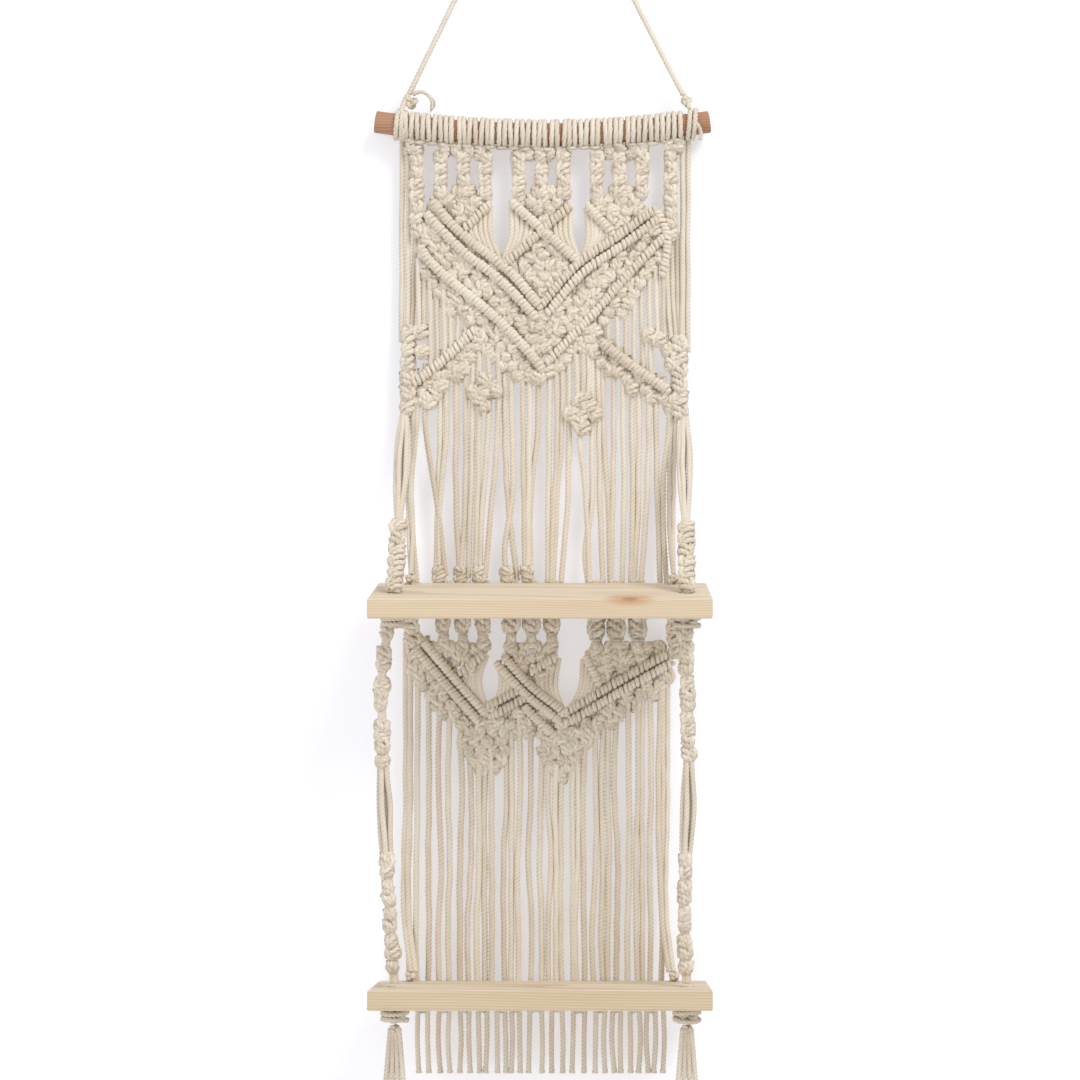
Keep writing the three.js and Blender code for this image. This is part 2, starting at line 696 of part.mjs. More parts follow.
function makeSideRopes() {
  for (const [side, sign] of [["left", -1], ["right", 1]]) {
    const knotEnd = upperAt(sideKnotShares[side][1]);
    const top = new THREE.Vector3(knotEnd.x, 0, knotEnd.y - fit);
    const seat = onBoard("upper", sign * frontHoleX, frontHoleFromBack, 0);
    seat.z += tieRadius * Math.sin(tilts.upper) + fit;
    addPiece("upper_side_rope_" + side, geometryOf(ropeBetween(top, seat, upperRopeShares)), cotton);
    const tieEnd = -boardThickness - tieKnotHeight - 2 * fit;
    const hangX = sign * frontHoleX + lowerRopeLean[side];
    const hang = onBoard("upper", hangX, frontHoleFromBack, tieEnd);
    hang.z -= fit;
    const foot = onBoard("lower", sign * frontHoleX, frontHoleFromBack, pivotGap);
    addPiece("lower_side_rope_" + side, geometryOf(ropeBetween(hang, foot, lowerRopeShares)), cotton);
    const tails = makeFrontTails(onBoard("lower", sign * frontHoleX, frontHoleFromBack, tieEnd));
    addPiece("front_fringe_" + side, tails, cotton);
  }
}

const fringeEndZ = lowerTopZ - boardThickness - fringeLength;

// A free strand of the fringe, with the sides of a cord
function fringeStrand(from, to) {
  return stack([{ ...from, rx: strandRadius }, { ...to, rx: strandRadius }], cordSides);
}

// Four loose tails under a front tie
function makeFrontTails(tieFoot) {
  const { x, y, z } = tieFoot;
  const knotZ = z - fit - tailKnobRadius;
  const pieces = [knob(x, y, knotZ, tailKnobRadius, tailKnobRadius, tailKnobRadius)];
  for (let i = 0; i < strandsInBundle; i++) {
    const offset = (i - (strandsInBundle - 1) / 2) * cordDiameter;
    const from = { x: x + offset / 2, y, z: knotZ };
    pieces.push(fringeStrand(from, { x: x + offset * (1 + fit / 2), y, z: fringeEndZ }));
  }
  return geometryOf(join(pieces));
}

// The lower knotwork: one wide net with two points, its columns above and its strands below
const lowerNetShares = [
  [-0.815, 0.128], [-0.675, 0.151], [-0.321, 0.151], [-0.321, 0.189], [-0.394, 0.234],
  [-0.375, 0.269], [-0.339, 0.314], [-0.259, 0.269], [-0.266, 0.181], [-0.266, 0.151],
  [0.101, 0.151], [0.107, 0.181], [0.07, 0.262], [0.125, 0.322], [0.223, 0.262], [0.235, 0.181],
  [0.235, 0.151], [0.626, 0.156], [0.766, 0.143], [0.827, 0.181], [0.766, 0.234], [0.595, 0.302],
  [0.498, 0.314], [0.4, 0.355], [0.247, 0.367], [0.205, 0.455], [0.119, 0.486], [-0.021, 0.44],
  [-0.021, 0.39], [-0.107, 0.337], [-0.217, 0.367], [-0.229, 0.448], [-0.357, 0.478],
  [-0.498, 0.44], [-0.498, 0.39], [-0.577, 0.325], [-0.791, 0.239], [-0.815, 0.186],
];
const lowerBarShares = [
  [[-0.784, 0.15], [-0.345, 0.35]], [[-0.785, 0.186], [-0.394, 0.37]],
  [[-0.345, 0.186], [-0.504, 0.234]], [[-0.25, 0.191], [0.125, 0.382]],
  [[-0.25, 0.235], [0.058, 0.39]], [[0.09, 0.194], [-0.333, 0.332]],
  [[0.247, 0.196], [0.327, 0.259]], [[0.766, 0.194], [0.137, 0.34]],
  [[0.75, 0.224], [0.156, 0.37]],
];
const lowerSinnetXShares = [-0.61, -0.485, -0.363, -0.198, -0.07, 0.064, 0.321, 0.449, 0.583];
const lowerSinnetEndShare = 0.165;
const lowerSinnetKnots = 2;
const lowerEdgeShares = { left: [-0.782, 0.165], right: [0.79, 0.18] };
const lowerStrandXShares = [
  -0.803, -0.76, -0.701, -0.631, -0.568, -0.504, -0.449, -0.393, -0.339, -0.278, -0.231, -0.19,
  -0.141, -0.077, -0.007, 0.058, 0.119, 0.189, 0.259, 0.327, 0.382, 0.43, 0.479, 0.534, 0.589,
  0.638, 0.687, 0.736, 0.784,
];
const lowerContourShares = [
  [-0.82, 0.186], [-0.791, 0.239], [-0.577, 0.325], [-0.498, 0.41], [-0.357, 0.478],
  [-0.229, 0.44], [-0.217, 0.367], [-0.107, 0.337], [-0.021, 0.4], [0.119, 0.48], [0.205, 0.44],
  [0.247, 0.367], [0.4, 0.355], [0.498, 0.314], [0.595, 0.302], [0.766, 0.234], [0.827, 0.181],
];

// A column behind and below the upper board: flat behind its edge, then two square knots
function lowerSinnet(xShare) {
  const x = xShare * halfBoard;
  const top = upperTopZ + gatherRise - gatherHeight / 2 - fit;
  const below = upperTopZ - boardThickness - edgeClearance;
  const neck = { x, y: 0, rx: 2 * neckRadius, ry: strandRadius };
  const behind = stack([{ ...neck, z: top }, { ...neck, z: below - edgeClearance }], knotSides);
  const end = place(lowerAt([xShare, lowerSinnetEndShare]));
  return behind.add(knotColumn({ x, y: 0, z: below }, end, lowerSinnetKnots));
}

// The corner column from under the board's rear knot back to the net
function lowerEdgeSinnet(side, sign) {
  const drop = rearTieDepth + 3 * fit;
  const { x, y, z } = onBoard("upper", sign * rearHoleX, rearHoleFromBack, -drop);
  return knotColumn({ x, y, z }, place(lowerAt(lowerEdgeShares[side])), lowerSinnetKnots);
}

// A strand from the net down behind the lower board; the outer two come forward to its corners
function lowerStrand(xShare, i) {
  const x = xShare * halfBoard;
  const top = place(lowerAt([xShare, dropAt(lowerContourShares, xShare) - overlapShare]));
  const isOuter = i === 0 || i === lowerStrandXShares.length - 1;
  const endZ = lowerTopZ - boardThickness - edgeClearance;
  if (!isOuter) return strand(top, { x, y: 0, z: endZ });
  const ball = onBoard("lower", Math.sign(x) * rearHoleX, rearHoleFromBack, 2 * tieRadius);
  const levels = [
    { ...top, rx: strandRadius },
    { x, y: 0, z: ball.z + cornerRise, rx: strandRadius },
    { x: ball.x, y: ball.y, z: ball.z + 2 * fit, rx: strandRadius },
  ];
  return stack(levels, strandSides);
}

function makeLowerCurtain() {
  const net = knottedNet(lowerNetShares.map(lowerAt), lowerBarShares.map((pair) => pair.map(lowerAt)));
  const pieces = [
    net,
    ...lowerSinnetXShares.map(lowerSinnet),
    lowerEdgeSinnet("left", -1),
    lowerEdgeSinnet("right", 1),
    ...lowerStrandXShares.map(lowerStrand),
  ];
  addPiece("lower_net", geometryOf(join(pieces)), cotton);
}

function makeRearFringe() {
  const inner = lowerStrandXShares.slice(1, -1).map((share) => share * halfBoard);
  const top = lowerTopZ - boardThickness - edgeClearance - fit;
  const [first, last] = [inner[0] - cordDiameter, inner[inner.length - 1] + cordDiameter];
  const band = [[first, top], [last, top], [last, top - bandHeight], [first, top - bandHeight]];
  const line = band.map(([x, z]) => new THREE.Vector2(x, z));
  const strands = inner.map((x) =>
    fringeStrand({ x, y: 0, z: top - bandHeight / 2 }, { x, y: 0, z: fringeEndZ }));
  addPiece("rear_fringe", geometryOf(join([prism(line, bandThickness), ...strands])), cotton);
}

makeHanger();
makeUpperCords();
makeUpperKnotwork();
makeBundles();
makeBoards();
addPiece("edge_bundle_left", makeEdgeBundle("left", -1), cotton);
addPiece("edge_bundle_right", makeEdgeBundle("right", 1), cotton);
makeSideRopes();
makeLowerCurtain();
makeRearFringe();

export default shelf;
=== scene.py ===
"""Scene of a hanging rope shelf: cotton knotwork and two pine boards on a wooden dowel.

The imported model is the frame: +Z is up, -Y is towards the viewer and the origin is the hook.
The knotwork hangs in the plane Y = 0, and its places are read off the front view in pixels.
"""

import logging
from dataclasses import dataclass
from enum import Enum

import bpy
import numpy as np
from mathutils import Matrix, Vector


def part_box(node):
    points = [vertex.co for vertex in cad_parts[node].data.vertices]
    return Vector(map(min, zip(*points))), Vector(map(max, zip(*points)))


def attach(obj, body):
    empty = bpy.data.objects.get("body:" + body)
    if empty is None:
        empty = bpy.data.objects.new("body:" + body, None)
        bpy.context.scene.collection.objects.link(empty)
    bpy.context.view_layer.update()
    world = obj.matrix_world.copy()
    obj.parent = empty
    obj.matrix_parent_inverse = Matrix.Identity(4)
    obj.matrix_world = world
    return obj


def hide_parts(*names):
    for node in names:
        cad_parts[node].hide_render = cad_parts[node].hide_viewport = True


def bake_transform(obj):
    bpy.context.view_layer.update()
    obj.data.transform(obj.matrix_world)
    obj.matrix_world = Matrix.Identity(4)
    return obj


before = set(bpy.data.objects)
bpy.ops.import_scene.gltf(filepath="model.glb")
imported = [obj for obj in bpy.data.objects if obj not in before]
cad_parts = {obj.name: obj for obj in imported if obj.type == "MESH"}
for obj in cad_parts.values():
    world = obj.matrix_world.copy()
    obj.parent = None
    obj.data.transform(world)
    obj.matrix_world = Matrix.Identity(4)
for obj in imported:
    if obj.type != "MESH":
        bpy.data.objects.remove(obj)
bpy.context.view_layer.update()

Array = np.ndarray
Values = tuple[float, ...]
Pair = tuple[float, float]
Points = tuple[Pair, ...]
Place = tuple[float, float, float]
Colour = tuple[int, int, int]
Material = bpy.types.Material
Socket = bpy.types.NodeSocket
Tree = bpy.types.ShaderNodeTree
LOG = logging.getLogger("rope_shelf")

# The front view: its pixels per metre, and the pixel on its axis with that pixel's height.
PIXELS_PER_METRE = 1092.0
VIEW_CENTRE_PX = (542.5, 540.0)
VIEW_CENTRE_Z = -0.641
# A cord: its radius, the length in which its plies go once round, and how far apart in the fibre
# pattern two cords start for each radian between their turns.
CORD_RADIUS = 0.0029
CORD_LAY = 0.0108
CORD_OFFSET = 7.0
# The two ends of the shelf, and how far out the rear holes are.
SIDES = (("left", -1), ("right", 1))
REAR_HOLE_X = 0.1195


class Slot(Enum):
    """The names of the record's material slots for the cotton and the dowel's wood."""

    COTTON = "cotton_cord"
    DOWEL = "dowel_wood"


class Row(Enum):
    """How a row of half hitches lies: its wraps' step, their radius and how uneven they are."""

    TIGHT = (0.0037, 0.0026, 0.04)
    LOOSE = (0.0041, 0.0023, 0.09)


def on_panel(points: Array, depth: float = 0.0) -> Array:
    """Puts points read off the front view into the panel's plane.

    Args:
        points: Rows of x and y in pixels of the square 1080 view.
        depth: How far behind the plane Y = 0 they lie, in metres.

    Returns:
        Rows of x, y and z in metres.
    """
    flat = np.asarray(points, float)
    x = (flat[..., 0] - VIEW_CENTRE_PX[0]) / PIXELS_PER_METRE
    z = (VIEW_CENTRE_PX[1] - flat[..., 1]) / PIXELS_PER_METRE + VIEW_CENTRE_Z
    return np.stack([x, np.full_like(x, depth), z], axis=-1)


def to_pixels(points: Array) -> Array:
    """Where points of the panel's plane are in the front view.

    Args:
        points: Rows of x, y and z in metres.

    Returns:
        Rows of x and y in pixels of the square 1080 view.
    """
    x = points[..., 0] * PIXELS_PER_METRE + VIEW_CENTRE_PX[0]
    y = VIEW_CENTRE_PX[1] - (points[..., 2] - VIEW_CENTRE_Z) * PIXELS_PER_METRE
    return np.stack([x, y], axis=-1)


def curve(points: Array, count: int) -> Array:
    """A smooth line through points: a cubic between each two, with each inner point's direction
    that of the chord between its neighbours.

    Args:
        points: Shape (..., n, 3), the points of one line or of several with the same n.
        count: How many points the result has.

    Returns:
        Shape (..., count, 3), evenly spread over the chords' length.
    """
    knots = np.asarray(points, float)
    chord = np.linalg.norm(np.diff(knots, axis=-2), axis=-1).mean(axis=tuple(range(knots.ndim - 2)))
    at = np.concatenate([[0.0], np.cumsum(chord)])
    slope = np.gradient(knots, at, axis=-2)
    t = np.linspace(0.0, at[-1], count)
    i = np.clip(np.searchsorted(at, t, side="right") - 1, 0, len(at) - 2)
    span = (at[i + 1] - at[i])[:, None]
    u = ((t - at[i]) / span[:, 0])[:, None]
    start, end = knots[..., i, :], knots[..., i + 1, :]
    out, into = slope[..., i, :] * span, slope[..., i + 1, :] * span
    return (
        (2 * u**3 - 3 * u**2 + 1) * start
        + (u**3 - 2 * u**2 + u) * out
        + (3 * u**2 - 2 * u**3) * end
        + (u**3 - u**2) * into
    )


def length_of(line: Array) -> float:
    """The length of a line of points, in metres."""
    return float(np.linalg.norm(np.diff(line, axis=0), axis=1).sum())


def side_of(paths: Array) -> Array:
    """A steady sideways direction for each path: across the plane that it bends in. Where it is
    straight that is Y, or X for a path that runs along Y itself.

    Args:
        paths: Shape (n, m, 3).

    Returns:
        Shape (n, 3), unit vectors.
    """
    least_bend, along_y = 0.12, 0.7
    count = paths.shape[1]
    third = paths[:, count // 3] - paths[:, 0]
    further = paths[:, (2 * count) // 3] - paths[:, 0]
    bend = np.cross(third, further)
    size = np.linalg.norm(bend, axis=1, keepdims=True)
    scale = np.linalg.norm(third, axis=1, keepdims=True) * np.linalg.norm(
        further, axis=1, keepdims=True
    )
    chord = paths[:, -1] - paths[:, 0]
    chord = chord / np.maximum(np.linalg.norm(chord, axis=1, keepdims=True), 1e-9)
    plain = np.where(np.abs(chord[:, 1:2]) > along_y, [[1.0, 0.0, 0.0]], [[0.0, 1.0, 0.0]])
    return np.where(size > least_bend * scale, bend / np.maximum(size, 1e-12), plain)


# The parts of a square knot in hundredths of its half width, half depth and half height, each a
# line of five points: the ear, the two cords across the front, the two cores, the far ear and the
# two cords across the back.
SQUARE_KNOT = np.array([
    [(-45, -30, 100), (-82, -78, 60), (-95, -90, 0), (-82, -78, -55), (-45, -30, -95)],
    [(95, 0, 95), (66, -78, 68), (14, -108, 28), (-36, -95, -8), (-80, -25, -30)],
    [(98, 0, -15), (74, -72, -28), (30, -102, -55), (-14, -92, -80), (-50, -20, -105)],
    [(-34, -10, 135), (-36, -30, 85), (-30, -25, 0), (-36, -30, -85), (-34, -10, -135)],
    [(34, -10, 135), (36, -30, 85), (30, -25, 0), (36, -30, -85), (34, -10, -135)],
    [(86, 20, 85), (95, 45, 40), (97, 50, 0), (95, 45, -40), (86, 20, -85)],
    [(-90, 10, 95), (-45, 80, 55), (0, 100, 20), (45, 80, -10), (80, 15, -30)],
    [(-90, 10, -10), (-45, 80, -40), (0, 100, -70), (45, 80, -90), (80, 15, -105)],
]) / 100
# Each part's thickness as a share of the cord's, how much it differs, and how far a part may move.
PART_SIZES = np.array([1.0, 1.0, 1.0, 1.22, 1.22, 1.0, 1.0, 1.0])
PART_SPREAD = 0.07
PART_SHIFT = 0.00035
KNOT_RINGS = 7
WOUND_RINGS = 54
# Plain cords: the distance between rings, how much their thickness differs, and how far and in
# what lengths they swing from their line.
RING_SPACING = 0.0012
CORD_SPREAD = 0.06
CORD_SWING = 0.00028
SWING_LENGTHS = (0.03, 0.09)
# Rows of hitches: the rings of one wrap, and how far before the panel's plane their middle lies.
RINGS_PER_WRAP = 12
BAR_LIFT = 0.0042
# Fields of alternating knots: the step between knots and between rows, how far a knot may move,
# its half sizes, and how far its middle stays from gaps, filled places and rows of hitches.
FIELD_STEP_PX = (12.4, 9.2)
FIELD_SHIFT_PX = 1.3
FIELD_HALF = (0.0044, 0.0034, 0.0043)
GAP_REACH_PX = (6.5, 5.5)
FILLED_REACH_PX = (2.0, 2.0)
ROW_REACH_PX = 4.6
# Cords behind a row of hitches: their step, how far they reach up and down, and how far to the
# side and up they stay clear of a gap.
CROSSING_STEP_PX = 5.0
CROSSING_REACH_PX = 11.0
CROSSING_CLEAR_PX = (4.0, 9.0)
# How far before the panel the three points of a fan's line lie, as Y.
FAN_BOW = (0.0, -0.0024, -0.0012)


class CordWork:
    """Gathers cords and knots and makes them one mesh. A cord is a section carried along a path:
    at each step the section's corners lie round the path at the cord's radius, every second
    corner drawn in, and the section turns once per lay, so that the corners run as the cord's
    twisted plies.
    """

    def __init__(self, name: str, rng: np.random.Generator | None = None) -> None:
        """Starts an empty piece.

        Args:
            name: The piece's name.
            rng: Where the small differences of its cords and knots come from.
        """
        self.name = name
        self.rng = rng
        self.points: list[Array] = []
        self.quads: list[Array] = []
        self.caps: list[Array] = []
        self.quad_uv: list[Array] = []
        self.cap_uv: list[Array] = []
        self.count = 0

    def lay(
        self,
        paths: Array,
        radius: Array | float = CORD_RADIUS,
        lay: float = CORD_LAY,
        sides: int = 6,
        valley: float = 0.2,
        phase: Array | float = 0.0,
        side: Array | None = None,
    ) -> None:
        """Adds cords that follow the paths.

        Args:
            paths: Shape (n, m, 3), or (m, 3) for one path.
            radius: One radius, or one for each path's each point, in metres.
            lay: The length in which the plies go once round.
            sides: The section's corners, twice the number of plies.
            valley: How far the corners between plies are drawn in, as a share of the radius.
            phase: Each path's turn at its start, in radians.
            side: Shape (n, m, 3), each point's sideways direction, found where left out.
        """
        lines = np.asarray(paths, float)
        if lines.ndim == 2:
            lines = lines[None]
        n, m = lines.shape[:2]
        run = np.linalg.norm(np.diff(lines, axis=1), axis=2)
        arc = np.concatenate([np.zeros((n, 1)), np.cumsum(run, axis=1)], axis=1)
        tangent = np.gradient(lines, axis=1)
        tangent /= np.maximum(np.linalg.norm(tangent, axis=2, keepdims=True), 1e-9)
        if side is None:
            side = np.repeat(side_of(lines)[:, None], m, axis=1)
        side -= (side * tangent).sum(axis=2, keepdims=True) * tangent
        side /= np.maximum(np.linalg.norm(side, axis=2, keepdims=True), 1e-9)
        other = np.cross(tangent, side)
        corner = np.arange(sides)
        turn = 2 * np.pi * arc / lay + np.reshape(phase, (-1, 1))
        angle = turn[..., None] + 2 * np.pi * corner / sides
        reach = np.broadcast_to(np.asarray(radius, float), (n, m))[..., None]
        reach = reach * (1 - valley * (corner % 2))
        ring = lines[:, :, None] + reach[..., None] * (
            np.cos(angle)[..., None] * side[:, :, None]
            + np.sin(angle)[..., None] * other[:, :, None]
        )
        tone = CORD_OFFSET * np.broadcast_to(np.reshape(phase, (-1, 1)), (n, 1))
        self._add_rings(ring, lines[:, 0], lines[:, -1], arc + tone)

    def _add_rings(self, ring: Array, start: Array, end: Array, arc: Array) -> None:
        """Joins the rings of sections into closed tubes.

        Args:
            ring: Shape (n, m, sides, 3).
            start: Shape (n, 3), the middle of each first ring.
            end: Shape (n, 3), the middle of each last ring.
            arc: Shape (n, m), the distance along each path plus the cord's own offset.
        """
        n, m, sides = ring.shape[:3]
        first = self.count + np.arange(n * m * sides).reshape(n, m, sides)
        nxt = np.roll(first, -1, axis=2)
        quad = np.stack([first[:, :-1], nxt[:, :-1], nxt[:, 1:], first[:, 1:]], axis=-1)
        pole = self.count + n * m * sides + np.arange(2 * n).reshape(2, n)
        poles = np.repeat(pole[:, :, None], sides, axis=2)
        cap = np.concatenate([
            np.stack([poles[0], nxt[:, 0], first[:, 0]], axis=-1),
            np.stack([poles[1], first[:, -1], nxt[:, -1]], axis=-1),
        ])
        v = np.arange(sides + 1) / sides
        u = np.repeat(arc[:, :, None], sides, axis=2)
        low, high = np.broadcast_to(v[:-1], u.shape), np.broadcast_to(v[1:], u.shape)
        corners = [
            np.stack([u[:, :-1], low[:, :-1]], axis=-1),
            np.stack([u[:, :-1], high[:, :-1]], axis=-1),
            np.stack([u[:, 1:], high[:, 1:]], axis=-1),
            np.stack([u[:, 1:], low[:, 1:]], axis=-1),
        ]
        self.points += [ring.reshape(-1, 3), start, end]
        self.quads.append(quad.reshape(-1, 4))
        self.caps.append(cap.reshape(-1, 3))
        self.quad_uv.append(np.stack(corners, axis=-2).reshape(-1, 2))
        self.cap_uv.append(np.zeros((cap.size, 2)))
        self.count += n * m * sides + 2 * n

    def square_knots(
        self,
        centres: Array,
        half: Place | Array,
        radius: float = 0.0025,
        along: Array | None = None,
        wobble: float = 0.1,
    ) -> None:
        """Adds square knots. Each is the table of parts scaled to its half sizes, mirrored at
        random, a little turned and moved, so that no two are alike.

        Args:
            centres: Shape (n, 3).
            half: The half width, half depth and half height, or shape (n, 3).
            radius: The cords' radius.
            along: Shape (n, 3), each knot's upward direction, which is +Z where left out.
            wobble: How much the sizes and the turn differ, as a share and in radians.
        """
        n = len(centres)
        lines = curve(SQUARE_KNOT, KNOT_RINGS)
        sizes = np.broadcast_to(np.asarray(half, float), (n, 3))
        sizes = sizes * (1 + wobble * self.rng.uniform(-1, 1, (n, 3)))
        mirror = np.where(self.rng.random(n) < 0.5, -1.0, 1.0)
        local = lines[None] * sizes[:, None, None]
        local[..., 0] *= mirror[:, None, None]
        local += self.rng.normal(0, PART_SHIFT, local.shape[:2] + (1, 3))
        tilt = self.rng.normal(0, wobble, n)
        if along is None:
            along = np.tile([0.0, 0.0, 1.0], (n, 1))
        up = along / np.linalg.norm(along, axis=1, keepdims=True)
        across = np.cross(np.tile([0.0, 1.0, 0.0], (n, 1)), up)
        across /= np.linalg.norm(across, axis=1, keepdims=True)
        ahead = np.cross(up, across)
        cos, sin = np.cos(tilt)[:, None], np.sin(tilt)[:, None]
        turned = cos * across + sin * up, ahead, cos * up - sin * across
        moved = sum(local[..., k : k + 1] * turned[k][:, None, None] for k in range(3))
        moved += np.asarray(centres)[:, None, None]
        flat = moved.reshape(-1, KNOT_RINGS, 3)
        spread = self.rng.uniform(-PART_SPREAD, PART_SPREAD, len(flat))
        reach = radius * np.tile(PART_SIZES, n) * (1 + spread)
        self.lay(flat, reach[:, None], phase=self.rng.uniform(0, 2 * np.pi, len(flat)))

    def sinnet(self, line: Array, knots: int, half: Pair, radius: float) -> None:
        """Adds a column of square knots along a line.

        Args:
            line: The points of the column's middle, from the top down.
            knots: How many knots it has.
            half: The knots' half width and half depth.
            radius: The cords' radius.
        """
        fine = curve(line, 2 * knots + 1)
        centres = fine[1::2]
        along = fine[:-1:2] - fine[2::2]
        height = np.linalg.norm(along, axis=1) / 2
        sizes = np.stack([np.full(knots, half[0]), np.full(knots, half[1]), height * 0.92], axis=1)
        self.square_knots(centres, sizes, radius, along, wobble=0.09)

    def strands(
        self, lines: list[Array], radius: float = CORD_RADIUS, depth: float = 0.0014
    ) -> None:
        """Adds plain cords along lines in the panel, each a little before or behind the plane and
        swinging a little from its line: a sine wave that dies out towards both ends.

        Args:
            lines: Each line's points, in metres.
            radius: The cords' radius.
            depth: How far before or behind its line a cord may lie.
        """
        for line in lines:
            rings = max(6, round(length_of(line) / RING_SPACING))
            path = curve(line, rings)
            t = np.linspace(0, length_of(path), rings)
            wave = np.sin(t * 2 * np.pi / self.rng.uniform(*SWING_LENGTHS) + self.rng.uniform(0, 6))
            swing = CORD_SWING * np.sin(np.pi * t / t[-1]) * wave
            path[:, 0] += swing
            path[:, 1] += self.rng.uniform(-depth, depth) + swing
            reach = radius * (1 + self.rng.uniform(-CORD_SPREAD, CORD_SPREAD))
            self.lay(path, reach, phase=self.rng.uniform(0, 2 * np.pi))

    def hitch_bar(self, line: Array, half: float, row: Row) -> None:
        """Adds a row of half hitches: a cord wound round the row's line. Its middle at each step
        is the line's point plus the winding's radius times the turning direction from across to
        forward; a tight row goes along only behind, so that its wraps cross the front squarely.

        Args:
            line: The row's ends or points, in metres.
            half: Half its width.
            row: How its wraps lie.
        """
        pitch, cord, unevenness = row.value
        turns = max(3, round(length_of(line) / pitch))
        t = np.linspace(0, turns, turns * RINGS_PER_WRAP + 1)
        angle = 2 * np.pi * (t + self.rng.random())
        fine = curve(line, 8 * turns)
        step = t + (np.cos(angle) / (2 * np.pi) if row is Row.TIGHT else 0.0)
        step = np.clip(step / turns, 0, 1) * (len(fine) - 1)
        path, run = (
            np.stack([np.interp(step, np.arange(len(fine)), rows[:, k]) for k in range(3)], axis=1)
            for rows in (fine, np.gradient(fine, axis=0))
        )
        run /= np.linalg.norm(run, axis=1, keepdims=True)
        front = np.array([0.0, -1.0, 0.0])
        across = np.cross(run, front)
        # The winding is narrower over its first and last wrap, and slowly swells and slips between.
        ends = np.sqrt(np.clip(np.minimum(t, turns - t) / 1.2 + 0.25, 0, 1))
        swell = unevenness * np.sin(t * 2.4 + self.rng.uniform(0, 6))
        uneven = 1 + swell + unevenness * np.sin(t * 1.1)
        reach = ((half - cord) * ends * uneven)[:, None]
        slip = (0.12 * pitch * np.sin(t * 1.7 + self.rng.uniform(0, 6)))[:, None]
        coil = path + slip * run + reach * (
            np.cos(angle)[:, None] * across + 0.9 * np.sin(angle)[:, None] * front
        )
        coil[:, 1] -= BAR_LIFT
        self.lay(coil, cord, lay=0.02, valley=0.07, side=run[None], phase=self.rng.uniform(0, 6))

    def knot_field(
        self,
        outline: Points,
        gaps: tuple[Points, ...],
        filled: tuple[Points, ...],
        rows: list[Points],
    ) -> None:
        """Fills an outline with alternating square knots: rows of knots, each row half a step
        along from the one above it.

        Args:
            outline: The field's outline in pixels of the front view.
            gaps: Outlines of gaps that no knot may reach into.
            filled: Outlines of places without knots that parallel cords fill.
            rows: Lines of hitches under which no knot's middle lies.
        """
        across, down = FIELD_STEP_PX
        edge = np.asarray(outline, float)
        low, high = edge.min(axis=0), edge.max(axis=0)
        row = np.arange(int((high[1] - low[1]) / down) + 2)
        columns = np.arange(int((high[0] - low[0]) / across) + 2)
        x = low[0] + columns[None] * across + (row[:, None] % 2) * across / 2
        y = low[1] + np.repeat(row[:, None], len(columns), axis=1) * down
        places = np.stack([x.ravel(), y.ravel()], axis=1)
        places += self.rng.uniform(-FIELD_SHIFT_PX, FIELD_SHIFT_PX, places.shape)
        places = clear_of(places[inside(places, edge)], gaps, GAP_REACH_PX)
        places = clear_of(places, filled, FILLED_REACH_PX)
        for line in rows:
            places = places[distance_to(places, np.asarray(line, float)) > ROW_REACH_PX]
        if len(places):
            self.square_knots(on_panel(places, 0.0012), FIELD_HALF, 0.0028, wobble=0.22)

    def crossing_cords(self, line: Points, gaps: tuple[Points, ...]) -> None:
        """Adds the short upright cords that pass behind a row of hitches, where no gap is.

        Args:
            line: The row's points in pixels.
            gaps: Outlines of gaps that no cord may reach into.
        """
        edge = np.asarray(line, float)
        at = np.concatenate([[0.0], np.cumsum(np.linalg.norm(np.diff(edge, axis=0), axis=1))])
        width = np.abs(edge[-1] - edge[0]).max()
        share = np.linspace(0, at[-1], max(3, round(width / CROSSING_STEP_PX)))[1:-1]
        middles = np.stack([np.interp(share, at, edge[:, k]) for k in range(2)], axis=1)
        aside, up = CROSSING_CLEAR_PX
        for rise in (-up, up):
            middles = middles[~np.any([
                inside(middles + np.array([shift, rise]), np.asarray(gap, float))
                for gap in gaps for shift in (-aside, aside)
            ], axis=0)]
        if len(middles):
            heights = (-CROSSING_REACH_PX, 0.0, CROSSING_REACH_PX)
            ends = [on_panel(middles + np.array([0.0, y]), 0.0016) for y in heights]
            lines = curve(np.stack(ends, axis=1), 8)
            self.lay(lines, 0.0028, phase=self.rng.uniform(0, 6, len(lines)))

    def wound_knot(self, centre: Place | Array, half: Place, radius: float) -> None:
        """Adds a bulky knot: one closed cord that winds three times through itself, x as sin t +
        2 sin 2t, z as cos t - 2 cos 2t and y as -sin 3t, scaled to the knot's half sizes.

        Args:
            centre: The knot's middle.
            half: Its half width, half depth and half height, over all.
            radius: The cord's radius.
        """
        t = np.linspace(0, 2 * np.pi, WOUND_RINGS) + self.rng.uniform(0, 6)
        loop = np.stack([
            (np.sin(t) + 2 * np.sin(2 * t)) / 3,
            -np.sin(3 * t),
            (np.cos(t) - 2 * np.cos(2 * t)) / 3,
        ], axis=1)
        room = np.maximum(np.asarray(half) - radius, 0.0005)
        self.lay(np.asarray(centre) + loop * room, radius)

